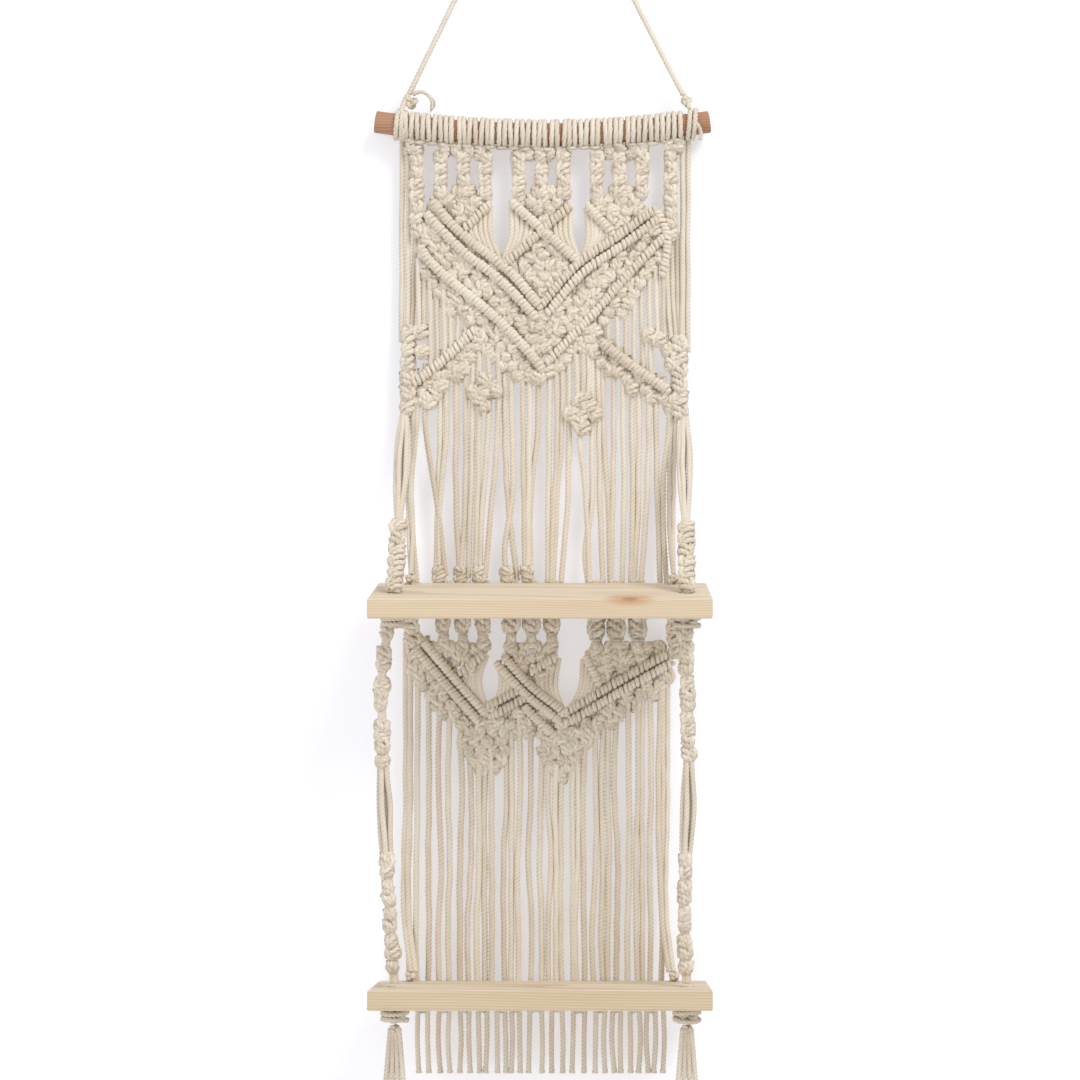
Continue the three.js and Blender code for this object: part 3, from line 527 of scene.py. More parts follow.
    def build(self, material: Material, slot: Slot = Slot.COTTON) -> bpy.types.Object:
        """Makes the object.

        Args:
            material: Its finish.
            slot: The record's material slot of that finish; not used.

        Returns:
            The new object, at the origin.
        """
        quads, caps = np.concatenate(self.quads), np.concatenate(self.caps)
        mesh = bpy.data.meshes.new(self.name)
        mesh.vertices.add(self.count)
        mesh.vertices.foreach_set("co", np.concatenate(self.points).astype(np.float32).ravel())
        mesh.loops.add(quads.size + caps.size)
        mesh.loops.foreach_set(
            "vertex_index", np.concatenate([quads.ravel(), caps.ravel()]).astype(np.int32)
        )
        mesh.polygons.add(len(quads) + len(caps))
        starts = np.concatenate([4 * np.arange(len(quads)), quads.size + 3 * np.arange(len(caps))])
        mesh.polygons.foreach_set("loop_start", starts.astype(np.int32))
        uv = mesh.uv_layers.new(name="cord")
        both = np.concatenate(self.quad_uv + self.cap_uv).astype(np.float32)
        mesh.update(calc_edges=True)
        uv.data.foreach_set("uv", both.ravel())
        mesh.shade_smooth()
        piece = placed(self.name, mesh)
        mesh.materials.append(material)
        return piece


def dressed(piece: bpy.types.Object, body: str, *nodes: str) -> bpy.types.Object:
    """Lets a piece ride on a body and stand for CAD nodes, and reports it.

    Args:
        piece: The new piece.
        body: The body that it rides on.
        *nodes: The CAD nodes that it stands for.

    Returns:
        The piece.
    """
    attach(piece, body)
    if nodes:
        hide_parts(*nodes)
    LOG.info("%s rides on %s with %d faces", piece.name, body, len(piece.data.polygons))
    return piece


def bent(
    piece: bpy.types.Object, bodies: tuple[str, str], start: Place, end: Place, *nodes: str
) -> None:
    """Bakes a piece's place into its mesh, hides the CAD nodes that it stands for, and reports the
    two bodies that it lies between.

    Args:
        piece: The new piece.
        bodies: The body before the bend and the one after it, which the report names.
        start: Where the bend starts; not used.
        end: Where the bend ends; not used.
        *nodes: The CAD nodes that it stands for.
    """
    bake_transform(piece)
    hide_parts(*nodes)
    LOG.info("%s bends from %s to %s", piece.name, bodies[0], bodies[1])


def placed(name: str, data: bpy.types.ID) -> bpy.types.Object:
    """Makes an object of the data at the origin and puts it in the scene."""
    made = bpy.data.objects.new(name, data)
    bpy.context.scene.collection.objects.link(made)
    return made


def of_part(table: tuple, part: str) -> list[tuple]:
    """The rows of a table that start with a part's name, without that name."""
    return [row[1:] for row in table if row[0] == part]


def inside(points: Array, outline: Array) -> Array:
    """Which points lie inside a closed outline: a point is inside where a level line from it
    crosses the outline an odd number of times.

    Args:
        points: Shape (n, 2).
        outline: Shape (k, 2).

    Returns:
        Shape (n,), true where the point is inside.
    """
    x, y = points[:, 0:1], points[:, 1:2]
    x0, y0 = outline[:, 0], outline[:, 1]
    x1, y1 = np.roll(x0, -1), np.roll(y0, -1)
    crosses = (y0 > y) != (y1 > y)
    flat = np.where(np.abs(y1 - y0) < 1e-9, 1e-9, y1 - y0)
    return (crosses & (x < x0 + (y - y0) / flat * (x1 - x0))).sum(axis=1) % 2 == 1


def distance_to(places: Array, line: Array) -> Array:
    """How far each place is from the nearest part of a line of straight pieces.

    Args:
        places: Shape (n, 2).
        line: Shape (k, 2).

    Returns:
        Shape (n,).
    """
    start, step = line[:-1], np.diff(line, axis=0)
    share = ((places[:, None] - start) * step).sum(axis=2) / (step**2).sum(axis=1)
    nearest = start + np.clip(share, 0, 1)[..., None] * step
    return np.linalg.norm(places[:, None] - nearest, axis=2).min(axis=1)


def clear_of(places: Array, gaps: tuple[Points, ...], reach: Pair) -> Array:
    """The places from which a reach to the left, right, up and down stays out of the gaps.

    Args:
        places: Shape (n, 2), in pixels.
        gaps: The gaps' outlines.
        reach: How far to the sides, and how far up and down.

    Returns:
        The places that are left.
    """
    for gap in gaps:
        for way in ((-reach[0], 0.0), (reach[0], 0.0), (0.0, reach[1]), (0.0, -reach[1])):
            places = places[~inside(places + np.array(way), np.asarray(gap, float))]
    return places


def fan(first: Points, last: Points, count: int) -> list[Array]:
    """Lines spread evenly from the first one to the last one, each a little bowed forward.

    Args:
        first: The first line's three points in pixels.
        last: The last line's three points.
        count: How many lines there are.

    Returns:
        The lines' points in metres.
    """
    share = np.linspace(0, 1, count)[:, None, None]
    lines = on_panel(np.asarray(first, float) * (1 - share) + np.asarray(last, float) * share)
    lines[..., 1] = FAN_BOW
    return list(lines)


class NodeTree:
    """A small helper that lays out shader nodes."""

    def __init__(self, tree: Tree) -> None:
        """Keeps the tree.

        Args:
            tree: The node tree that nodes go into.
        """
        self.tree = tree

    def add(self, kind: str, inputs: dict | None = None, **settings: object) -> bpy.types.Node:
        """Adds a node.

        Args:
            kind: The node's type.
            inputs: Values, or sockets to link, by the input's name or number.
            **settings: The node's own settings.

        Returns:
            The new node.
        """
        node = self.tree.nodes.new(kind)
        for key, value in settings.items():
            setattr(node, key, value)
        for key, value in (inputs or {}).items():
            if isinstance(value, Socket):
                self.join(value, node.inputs[key])
            else:
                node.inputs[key].default_value = value
        return node

    def join(self, source: Socket, target: Socket) -> None:
        """Links an output to an input."""
        self.tree.links.new(source, target)

    def math(self, kind: str, first: object, second: object = 0.0, third: object = 0.0) -> Socket:
        """Adds a Math node and gives its output."""
        values = {0: first, 1: second, 2: third}
        return self.add("ShaderNodeMath", values, operation=kind).outputs[0]

    def mix(self, share: object, first: object, second: object) -> Socket:
        """Adds a colour mix and gives its output."""
        values = {0: share, 6: first, 7: second}
        return self.add("ShaderNodeMix", values, data_type="RGBA").outputs[2]

    def scaled(self, vector: Socket, scale: Place) -> Socket:
        """Adds a Mapping node that scales a vector, and gives its output."""
        return self.add("ShaderNodeMapping", {"Vector": vector, "Scale": scale}).outputs[0]

    def noise(self, vector: Socket, scale: float, detail: float) -> Socket:
        """Adds a Noise Texture and gives its value."""
        values = {"Vector": vector, "Scale": scale, "Detail": detail}
        return self.add("ShaderNodeTexNoise", values).outputs[0]

    def span(
        self, value: Socket, low: float, high: float, top: float = 1.0, **settings: str
    ) -> Socket:
        """Adds a Map Range node from low and high to 0 and top, and gives its output."""
        values = {"Value": value, "From Min": low, "From Max": high, "To Max": top}
        return self.add("ShaderNodeMapRange", values, **settings).outputs[0]

    def seen(self) -> Socket:
        """A mask that is 1 where the camera, gloss or glass looks straight at the surface."""
        path = self.add("ShaderNodeLightPath").outputs
        straight = self.math("MAXIMUM", path["Is Camera Ray"], path["Is Glossy Ray"])
        return self.math("MAXIMUM", straight, path["Is Transmission Ray"])


def shader_group(name: str, inputs: dict[str, tuple], outputs: dict[str, str]) -> tuple:
    """Starts a shader node group.

    Args:
        name: The group's name.
        inputs: Each input's socket type and value, by name.
        outputs: Each output's socket type, by name.

    Returns:
        The group, its layout helper, its input node and its output node.
    """
    group = bpy.data.node_groups.new(name, "ShaderNodeTree")
    for key, (kind, value) in inputs.items():
        socket = group.interface.new_socket(name=key, in_out="INPUT", socket_type=kind)
        socket.default_value = value
    for key, kind in outputs.items():
        group.interface.new_socket(name=key, in_out="OUTPUT", socket_type=kind)
    nodes = NodeTree(group)
    return group, nodes, nodes.add("NodeGroupInput"), nodes.add("NodeGroupOutput")


def linear(red: int, green: int, blue: int) -> tuple[float, float, float, float]:
    """A colour as the scene's linear values, by the standard curve for screens.

    Args:
        red: Its red, 0 to 255.
        green: Its green.
        blue: Its blue.

    Returns:
        Red, green, blue and alpha, 0 to 1.
    """
    part = np.array([red, green, blue]) / 255
    value = np.where(part <= 0.04045, part / 12.92, ((part + 0.055) / 1.055) ** 2.4)
    return (float(value[0]), float(value[1]), float(value[2]), 1.0)


def cord_surface_group() -> Tree:
    """The look of twisted cotton: fine fibres along the plies, painted shade in the valleys between
    them, and slow changes of tone, with the height of the fibres.

    Returns:
        The node group.
    """
    group, nodes, given, out = shader_group(
        "cord_surface",
        {
            "Light": ("NodeSocketColor", linear(240, 230, 211)),
            "Shade": ("NodeSocketColor", linear(196, 178, 150)),
            "Fibre": ("NodeSocketFloat", 1.0),
            "Plies": ("NodeSocketFloat", 3.0),
            "Painted Valley Shade": ("NodeSocketFloat", 0.5),
        },
        {"Colour": "NodeSocketColor", "Height": "NodeSocketFloat"},
    )
    uv = nodes.add("ShaderNodeUVMap", uv_map="cord").outputs[0]
    place = nodes.add("ShaderNodeTexCoord").outputs["Object"]
    # Painted shade in the valleys between the plies, once for each ply round the cord.
    turn = nodes.math("MULTIPLY", nodes.add("ShaderNodeSeparateXYZ", {0: uv}).outputs[1], 6.2832)
    turn = nodes.math("MULTIPLY", turn, given.outputs["Plies"])
    valley = nodes.math("MULTIPLY_ADD", nodes.math("COSINE", turn), -0.5, 0.5)
    # Fibres along the cord, fuzz on them, a slow drift of tone and each cord's own tone.
    fibre = nodes.noise(nodes.scaled(uv, (260.0, 34.0, 1.0)), 1.0, 3.0)
    fuzz = nodes.noise(place, 900.0, 2.0)
    tone = nodes.noise(place, 38.0, 3.0)
    own = nodes.noise(nodes.scaled(uv, (1.3, 0.0, 1.0)), 1.0, 1.0)
    own = nodes.math("MULTIPLY", nodes.math("SUBTRACT", own, 0.5), 1.6)
    # The painted valley shade together with each cord's own random tone.
    dark = nodes.math("MULTIPLY_ADD", valley, given.outputs["Painted Valley Shade"], own)
    streak = nodes.math("MULTIPLY", nodes.math("SUBTRACT", 0.62, fibre), 0.8)
    drift = nodes.math("MULTIPLY", nodes.math("SUBTRACT", tone, 0.5), 0.7)
    share = nodes.math("ADD", nodes.math("ADD", dark, streak), drift)
    share = nodes.add("ShaderNodeClamp", {0: share}).outputs[0]
    colour = nodes.mix(share, given.outputs["Light"], given.outputs["Shade"])
    height = nodes.math("ADD", fibre, nodes.math("MULTIPLY", fuzz, 0.6))
    height = nodes.math("MULTIPLY", height, given.outputs["Fibre"])
    nodes.join(colour, out.inputs["Colour"])
    nodes.join(height, out.inputs["Height"])
    return group


def wood_grain_group() -> Tree:
    """The look of sawn wood: growth rings cut along X as long uneven lines, fine fibres, and one
    round knot with a reddish halo.

    Returns:
        The node group.
    """
    group, nodes, given, out = shader_group(
        "wood_grain",
        {
            "Vector": ("NodeSocketVector", (0.0, 0.0, 0.0)),
            "Light": ("NodeSocketColor", linear(238, 220, 192)),
            "Dark": ("NodeSocketColor", linear(214, 186, 150)),
            "Rings": ("NodeSocketFloat", 120.0),
            "Warp": ("NodeSocketFloat", 4.0),
            "Knot Colour": ("NodeSocketColor", linear(196, 140, 100)),
            "Knot": ("NodeSocketVector", (0.0, 0.0, 9.0)),
            "Knot Size": ("NodeSocketVector", (0.024, 0.03, 0.009)),
        },
        {"Colour": "NodeSocketColor", "Height": "NodeSocketFloat"},
    )
    vector = given.outputs["Vector"]
    long_way = nodes.scaled(vector, (0.16, 1.0, 1.0))
    # The distance from the wood's knot, in the knot's own size.
    away = nodes.add(
        "ShaderNodeVectorMath", {0: vector, 1: given.outputs["Knot"]}, operation="SUBTRACT"
    ).outputs[0]
    near = nodes.add(
        "ShaderNodeVectorMath", {0: away, 1: given.outputs["Knot Size"]}, operation="DIVIDE"
    ).outputs[0]
    reach = nodes.add("ShaderNodeVectorMath", {0: near}, operation="LENGTH").outputs["Value"]
    # The rings: layers that rise across the wood, warp slowly and bend round the knot.
    halo = nodes.math("DIVIDE", 1.0, nodes.math("ADD", reach, 0.35))
    halo = nodes.math("MINIMUM", halo, 1.6)
    parts = nodes.add("ShaderNodeSeparateXYZ", {0: vector})
    across = nodes.math("MULTIPLY", parts.outputs[2], given.outputs["Rings"])
    across = nodes.math("ADD", across, nodes.math("MULTIPLY", parts.outputs[1], 31.0))
    warp = nodes.math("MULTIPLY", nodes.noise(long_way, 9.0, 2.0), given.outputs["Warp"])
    phase = nodes.math("ADD", nodes.math("ADD", across, warp), nodes.math("MULTIPLY", halo, 1.3))
    ring = nodes.math("POWER", nodes.math("FRACT", phase), 2.6)
    # Fine fibres along the wood, and a slow change of tone.
    fine = nodes.noise(nodes.scaled(vector, (18.0, 900.0, 900.0)), 1.0, 3.0)
    slow = nodes.noise(long_way, 30.0, 2.0)
    share = nodes.math("ADD", nodes.math("MULTIPLY", ring, 0.62), -0.12)
    share = nodes.math("ADD", share, nodes.math("MULTIPLY", fine, 0.42))
    share = nodes.math("ADD", share, nodes.math("MULTIPLY_ADD", slow, 0.5, -0.2))
    share = nodes.add("ShaderNodeClamp", {0: share}).outputs[0]
    base = nodes.mix(share, given.outputs["Light"], given.outputs["Dark"])
    # The knot's reddish spot and its dark heart.
    spot = nodes.span(reach, 1.1, 0.3, 0.8, interpolation_type="SMOOTHSTEP")
    knotted = nodes.mix(spot, base, given.outputs["Knot Colour"])
    knotted = nodes.mix(nodes.span(reach, 0.34, 0.16, 0.4), knotted, linear(120, 72, 46))
    nodes.join(knotted, out.inputs["Colour"])
    height = nodes.math("ADD", nodes.math("MULTIPLY", fine, 0.5), ring)
    nodes.join(height, out.inputs["Height"])
    return group


def group_material(
    name: str, group: Tree, values: dict[str, object], bump: Pair, plain: dict[str, float]
) -> tuple[Material, NodeTree, bpy.types.Node]:
    """Makes a material whose colour and height come from a node group.

    Args:
        name: The material's name.
        group: The node group.
        values: The group's own values, by input.
        bump: The bump's strength and its distance.
        plain: The shader's plain values, by input.

    Returns:
        The material, its layout helper and the group's node.
    """
    made = bpy.data.materials.new(name)
    made.use_nodes = True
    nodes = NodeTree(made.node_tree)
    shader = made.node_tree.nodes["Principled BSDF"]
    surface = nodes.add("ShaderNodeGroup", values, node_tree=group)
    height = {"Height": surface.outputs["Height"], "Strength": bump[0], "Distance": bump[1]}
    nodes.join(surface.outputs["Colour"], shader.inputs["Base Color"])
    nodes.join(nodes.add("ShaderNodeBump", height).outputs[0], shader.inputs["Normal"])
    for key, value in plain.items():
        shader.inputs[key].default_value = value
    return made, nodes, surface


@dataclass(frozen=True)
class Cotton:
    """Soft twisted cotton cord."""

    name: str = "cotton_cord"
    light: Colour = (241, 231, 214)
    # The darker colour that both the painted valley shade and the random tone mix towards.
    shade: Colour = (207, 190, 166)
    fibre: float = 1.0
    plies: float = 3.0
    # How strongly painted shade darkens the valleys between the plies.
    valley: float = 0.4
    bump: Pair = (0.7, 0.0005)
    roughness: float = 0.93
    gloss: float = 0.2
    sheen: float = 0.12

    def material(self, group: Tree) -> Material:
        """Makes the material.

        Args:
            group: The cord surface's node group.

        Returns:
            The material.
        """
        values = {
            "Light": linear(*self.light), "Shade": linear(*self.shade), "Fibre": self.fibre,
            "Plies": self.plies, "Painted Valley Shade": self.valley,
        }
        plain = {
            "Roughness": self.roughness, "Specular IOR Level": self.gloss,
            "Sheen Weight": self.sheen,
        }
        return group_material(self.name, group, values, self.bump, plain)[0]


@dataclass(frozen=True)
class Wood:
    """Sawn or turned wood with its grain along X. It may have painted light on its broad faces,
    which lie half its thickness above and below its centre: a paler colour that stands in for the
    light falling on them."""

    name: str
    light: Colour
    dark: Colour
    rings: float
    warp: float
    roughness: float
    tilt: float = 0.0
    centre: Place = (0.0, 0.0, 0.0)
    knot: Place = (0.0, 0.0, 9.0)
    knot_size: Place = (0.026, 0.024, 0.0072)
    knot_colour: Colour = (204, 156, 117)
    lean: float = 0.0
    # The paler colour of the broad faces is painted light; the field after it gives the distances
    # from the centre over which it fades in.
    painted_light_face: Colour | None = None
    face_from: Pair = (0.0079, 0.0085)
    bump: Pair = (0.25, 0.0003)
    gloss: float = 0.3

    def material(self, group: Tree) -> Material:
        """Makes the material.

        Args:
            group: The wood grain's node group.

        Returns:
            The material.
        """
        values = {
            "Light": linear(*self.light), "Dark": linear(*self.dark), "Rings": self.rings,
            "Warp": self.warp, "Knot": self.knot, "Knot Size": self.knot_size,
            "Knot Colour": linear(*self.knot_colour),
        }
        plain = {"Roughness": self.roughness, "Specular IOR Level": self.gloss}
        made, nodes, grain = group_material(self.name, group, values, self.bump, plain)
        place = nodes.add("ShaderNodeTexCoord").outputs["Object"]
        leaning, level = (
            nodes.add(
                "ShaderNodeMapping",
                {"Vector": place, "Location": self.centre, "Rotation": (self.tilt, lean, 0.0)},
                vector_type="TEXTURE",
            ).outputs[0]
            for lean in (self.lean, 0.0)
        )
        nodes.join(leaning, grain.inputs["Vector"])
        # Painted light: the broad faces, top and bottom, take a paler colour that stands in for the
        # light falling on the board's top.
        if self.painted_light_face:
            rise = nodes.add("ShaderNodeSeparateXYZ", {0: level}).outputs[2]
            painted_light_share = nodes.span(nodes.math("ABSOLUTE", rise), *self.face_from)
            pale = nodes.mix(painted_light_share, linear(*self.light), linear(*self.painted_light_face))
            nodes.join(pale, grain.inputs["Light"])
        return made


@dataclass(frozen=True)
class EndKnot:
    """How one end of the hanging cord is wound and knotted on the dowel. A winding is its start,
    its turns and how far along it goes in one turn."""

    side: str
    windings: tuple[Place, ...]
    knot: Place
    knot_half: Place
    radius: float
    neck: tuple[Place, ...]
    neck_radius: float
    neck_rings: int
    tail_px: Points
    tail_depth: float
    tail_radii: Pair
    tail_rings: int
    threads: int


END_KNOTS = (
    EndKnot(
        side="left",
        windings=((-0.1372, 1.6, 0.0068), (-0.1318, 1.1, 0.0052)),
        knot=(-0.1205, -0.001, -0.2405), knot_half=(0.0078, 0.0066, 0.0068), radius=0.0026,
        neck=((-0.1235, -0.002, -0.234), (-0.126, -0.004, -0.24), (-0.128, -0.006, -0.247),
              (-0.1295, -0.007, -0.252)),
        neck_radius=0.0026, neck_rings=16,
        tail_px=((413, 95), (421, 92.5), (428, 95.5), (432, 102), (432.5, 110)),
        tail_depth=-0.004, tail_radii=(0.0024, 0.0013), tail_rings=30, threads=5,
    ),
    EndKnot(
        side="right",
        windings=((0.1302, 1.3, 0.006), (0.1352, 1.2, 0.006)),
        knot=(0.1318, -0.002, -0.2395), knot_half=(0.0062, 0.0062, 0.0058), radius=0.0024,
        neck=((0.1302, -0.001, -0.2345), (0.133, -0.006, -0.2405), (0.134, -0.009, -0.247)),
        neck_radius=0.0025, neck_rings=12,
        tail_px=((693, 122), (698, 128), (700.5, 135), (699.5, 142)),
        tail_depth=-0.012, tail_radii=(0.0024, 0.0016), tail_rings=18, threads=0,
    ),
)


@dataclass
class Hanger:
    """The cord that the shelf hangs by, with its windings and knots on the dowel."""

    route_mm: Points = (
        (-122.3, -232.9), (-104.5, -196.3), (-86, -158.2), (-67.4, -120), (-48.8, -81.8),
        (-30.2, -43.5), (-18, -18.4), (-11.1, -4.6), (-6.2, 0.6), (0, 2.5), (6.2, 0.6),
        (11.3, -4.6), (18.4, -18.4), (31.3, -43.5), (51, -82), (70.6, -120.3), (90.1, -158.5),
        (109.4, -196.3), (128.75, -233.4),
    )
    cord_diameter: float = 0.0055
    cord_rings: int = 420
    winding_reach: float = 0.0126
    winding_radius: float = 0.0026
    winding_start: float = 0.6
    rings_per_turn: int = 34
    thread_radii: Pair = (0.0009, 0.0004)
    thread_rings: int = 12

    def cord(self, cotton: Material) -> None:
        """Makes the cord from knot to knot over the hook.

        Args:
            cotton: Its finish.
        """
        flat = np.array(self.route_mm) / 1000
        route = np.stack([flat[:, 0], np.zeros(len(flat)), flat[:, 1]], axis=1)
        path = curve(route, self.cord_rings)
        work = CordWork("hanging_cord")
        work.lay(path, self.cord_diameter / 2)
        piece = dressed(work.build(cotton), "hanger", "hanger_cord")

    def end_knots(self, cotton: Material, dowel: "Dowel") -> None:
        """Makes the windings round the dowel, the bulky knots above them and the loose tails.

        Args:
            cotton: Their finish.
            dowel: The rod that they are tied to.
        """
        rng = np.random.default_rng(11)
        for end in END_KNOTS:
            work = CordWork("end_knot_" + end.side, rng)
            for winding in end.windings:
                self._wind(work, dowel, *winding)
            work.wound_knot(end.knot, end.knot_half, end.radius)
            work.lay(curve(end.neck, end.neck_rings), end.neck_radius)
            tail = curve(on_panel(end.tail_px, end.tail_depth), end.tail_rings)
            work.lay(tail, np.linspace(*end.tail_radii, end.tail_rings))
            for k in range(end.threads):
                self._fray(work, k)
            dressed(work.build(cotton), "hanger", "hanger_knot_" + end.side)

    def _wind(self, work: CordWork, dowel: "Dowel", x: float, turns: float, advance: float) -> None:
        """Adds a winding: x grows evenly while the cord goes round the dowel's middle line.

        Args:
            work: The piece that it goes into.
            dowel: The rod that it goes round.
            x: Where it starts.
            turns: How many times it goes round.
            advance: How far along it goes in one turn.
        """
        t = np.linspace(0, 1, round(self.rings_per_turn * turns))
        angle = 2 * np.pi * turns * t + self.winding_start
        centre = dowel.axis(x + advance * turns * t)
        path = centre + self.winding_reach * np.stack(
            [np.zeros_like(t), np.sin(angle), np.cos(angle)], axis=1
        )
        work.lay(path, self.winding_radius)

    def _fray(self, work: CordWork, k: int) -> None:
        """Adds one thread of the left tail's frayed end: each next one lies further out, ends
        higher and lies further back.

        Args:
            work: The piece that it goes into.
            k: The thread's number.
        """
        line = [(427, 95), (431 + k, 98 + k), (431 + k, 106), (430.5 + 0.8 * k, 113 - k)]
        thread = curve(on_panel(line, -0.0045 + 0.0007 * k), self.thread_rings)
        radii = np.linspace(*self.thread_radii, self.thread_rings)
        work.lay(thread, radii, sides=4, valley=0.0)


@dataclass
class Dowel:
    """The slightly bowed rod."""

    length: float = 0.306
    radius: float = 0.01
    bow: float = 0.0114
    drop: float = 0.258
    edge: float = 0.0012
    plain_from: float = 0.003
    sides: int = 32
    rings: int = 90

    def axis(self, x: Array) -> Array:
        """The rod's middle line: a parabola that is lowest at its middle.

        Args:
            x: Places along it.

        Returns:
            Shape (n, 3).
        """
        at = np.asarray(x, float)
        z = -self.drop - self.bow * (1 - (at / (self.length / 2)) ** 2)
        return np.stack([at, np.zeros_like(at), z], axis=-1)

    def build(self, wood: Material) -> None:
        """Makes the rod: circles along the middle line, smaller at the two rounded ends.

        Args:
            wood: Its finish.
        """
        half = self.length / 2
        turn = np.linspace(0, np.pi / 2, 5)
        rounded = half - self.edge + self.edge * np.sin(turn)
        plain = np.linspace(-half + self.plain_from, half - self.plain_from, self.rings)
        shrink = self.radius - self.edge + self.edge * np.cos(turn)
        radius = np.concatenate([shrink[::-1], np.full(self.rings, self.radius), shrink])
        path = self.axis(np.concatenate([-rounded[::-1], plain, rounded]))
        work = CordWork("dowel_rod")
        # The rod has no plies: one endless lay and no valleys.
        work.lay(path, radius, lay=1e9, sides=self.sides, valley=0.0)
        dressed(work.build(wood, Slot.DOWEL), "hanger", "dowel")


UPPER_GAPS = (
    ((492, 140), (513, 140), (510, 199), (512, 229), (506, 248), (501, 260), (494, 243),
     (489, 225), (493, 199)),
    ((572, 140), (592, 140), (586, 190), (584, 215), (586, 238), (580, 260), (573, 240),
     (570, 215), (572, 190)),
    ((424, 140), (432, 140), (429, 190), (425, 203), (423, 190)),
    ((650, 140), (663, 140), (664, 210), (665, 232), (657, 214), (650, 200)),
)


@dataclass
class LarksHeads:
    """The wraps that hang the knotting cords on the dowel, in three groups. A loop's bows say, in
    Y and then in Z, where its ends lie from the rod's middle line and how much further its middle
    lies."""

    start: float = -0.1275
    pitch: float = 0.00533
    groups: tuple[tuple[str, int], ...] = (("left", 18), ("centre", 12), ("right", 18))
    ring_radius: float = 0.0116
    cord_radius: float = 0.0026
    gaps_px: Values = (457, 494, 547, 562, 602, 622)
    gap_reach: float = 0.0042
    gap_pull: float = 0.0013
    pinch: float = 0.00025
    loop_half: float = 0.0044
    loop_bows: Points = ((-0.0022, -0.0036), (-0.0128, -0.0012))
    loop_shift: float = 0.0005
    loop_radius: float = 0.0022
    knot_drops: Values = (0.0165, 0.0205)
    knot_half: Place = (0.004, 0.0036, 0.0032)
    knot_radius: float = 0.0024
    knot_reach_px: Pair = (6.0, 3.0)

    def build(self, cotton: Material, dowel: Dowel) -> None:
        """Makes each group, its wraps drawn apart where the rod shows between them.

        Args:
            cotton: The cords' finish.
            dowel: The rod that they hang on.
        """
        rng = np.random.default_rng(5)
        first = 0
        gaps = (np.array(self.gaps_px) - VIEW_CENTRE_PX[0]) / PIXELS_PER_METRE
        for group, count in self.groups:
            middle = self.start + self.pitch * (first + np.arange(count) + 0.5)
            pull = (middle[:, None] - gaps[None]) / self.gap_reach
            shift = (np.sign(pull) * np.exp(-(pull**2))).sum(axis=1) * self.gap_pull
            places = middle + shift + rng.uniform(-0.0003, 0.0003, count)
            work = CordWork("wraps_" + group, rng)
            self._rings(work, dowel.axis(places))
            self._heads(work, dowel.axis(places[::2] + self.pitch / 2))
            dressed(work.build(cotton), "hanger", "larks_heads_" + group)
            first += count

    def _rings(self, work: CordWork, centres: Array) -> None:
        """Adds a ring of cord for each wrap, leaning by turns to the left and to the right.

        Args:
            work: The piece that they go into.
            centres: The rings' middles.
        """
        rng, count = work.rng, len(centres)
        angle = np.linspace(0, 2 * np.pi, 29)
        pair = np.where(np.arange(count) % 2 == 0, 1.0, -1.0)[:, None]
        lean = pair * self.pinch + rng.uniform(-0.0006, 0.0006, (count, 1))
        reach = self.ring_radius * (1 + rng.uniform(-0.012, 0.03, (count, 1)))
        ring = centres[:, None] + np.stack([
            lean * -np.cos(angle)[None], reach * np.sin(angle)[None], reach * np.cos(angle)[None]
        ], axis=2)
        work.lay(ring, self.cord_radius, lay=0.034, valley=0.1, phase=rng.uniform(0, 6, count))

    def _heads(self, work: CordWork, heads: Array) -> None:
        """Adds the bowed loop under each two wraps, with knots below it where no gap is.

        Args:
            work: The piece that they go into.
            heads: The rod's middle line over each loop.
        """
        rng, share = work.rng, np.linspace(-1, 1, 5)
        bow = 1 - share**2
        loop = heads[:, None] + np.stack([
            self.loop_half * share, *(end + middle * bow for end, middle in self.loop_bows)
        ], axis=1)[None]
        loop += rng.normal(0, self.loop_shift, (len(heads), 1, 3))
        work.lay(curve(loop, 9), self.loop_radius, phase=rng.uniform(0, 6, len(heads)))
        for drop in self.knot_drops:
            shift = rng.uniform(-0.001, 0.001, heads.shape)
            under = heads + np.array([0.0012, -0.0004, -drop]) + shift
            spots = on_panel(clear_of(to_pixels(under), UPPER_GAPS, self.knot_reach_px), -0.0008)
            work.square_knots(spots, self.knot_half, self.knot_radius, wobble=0.25)


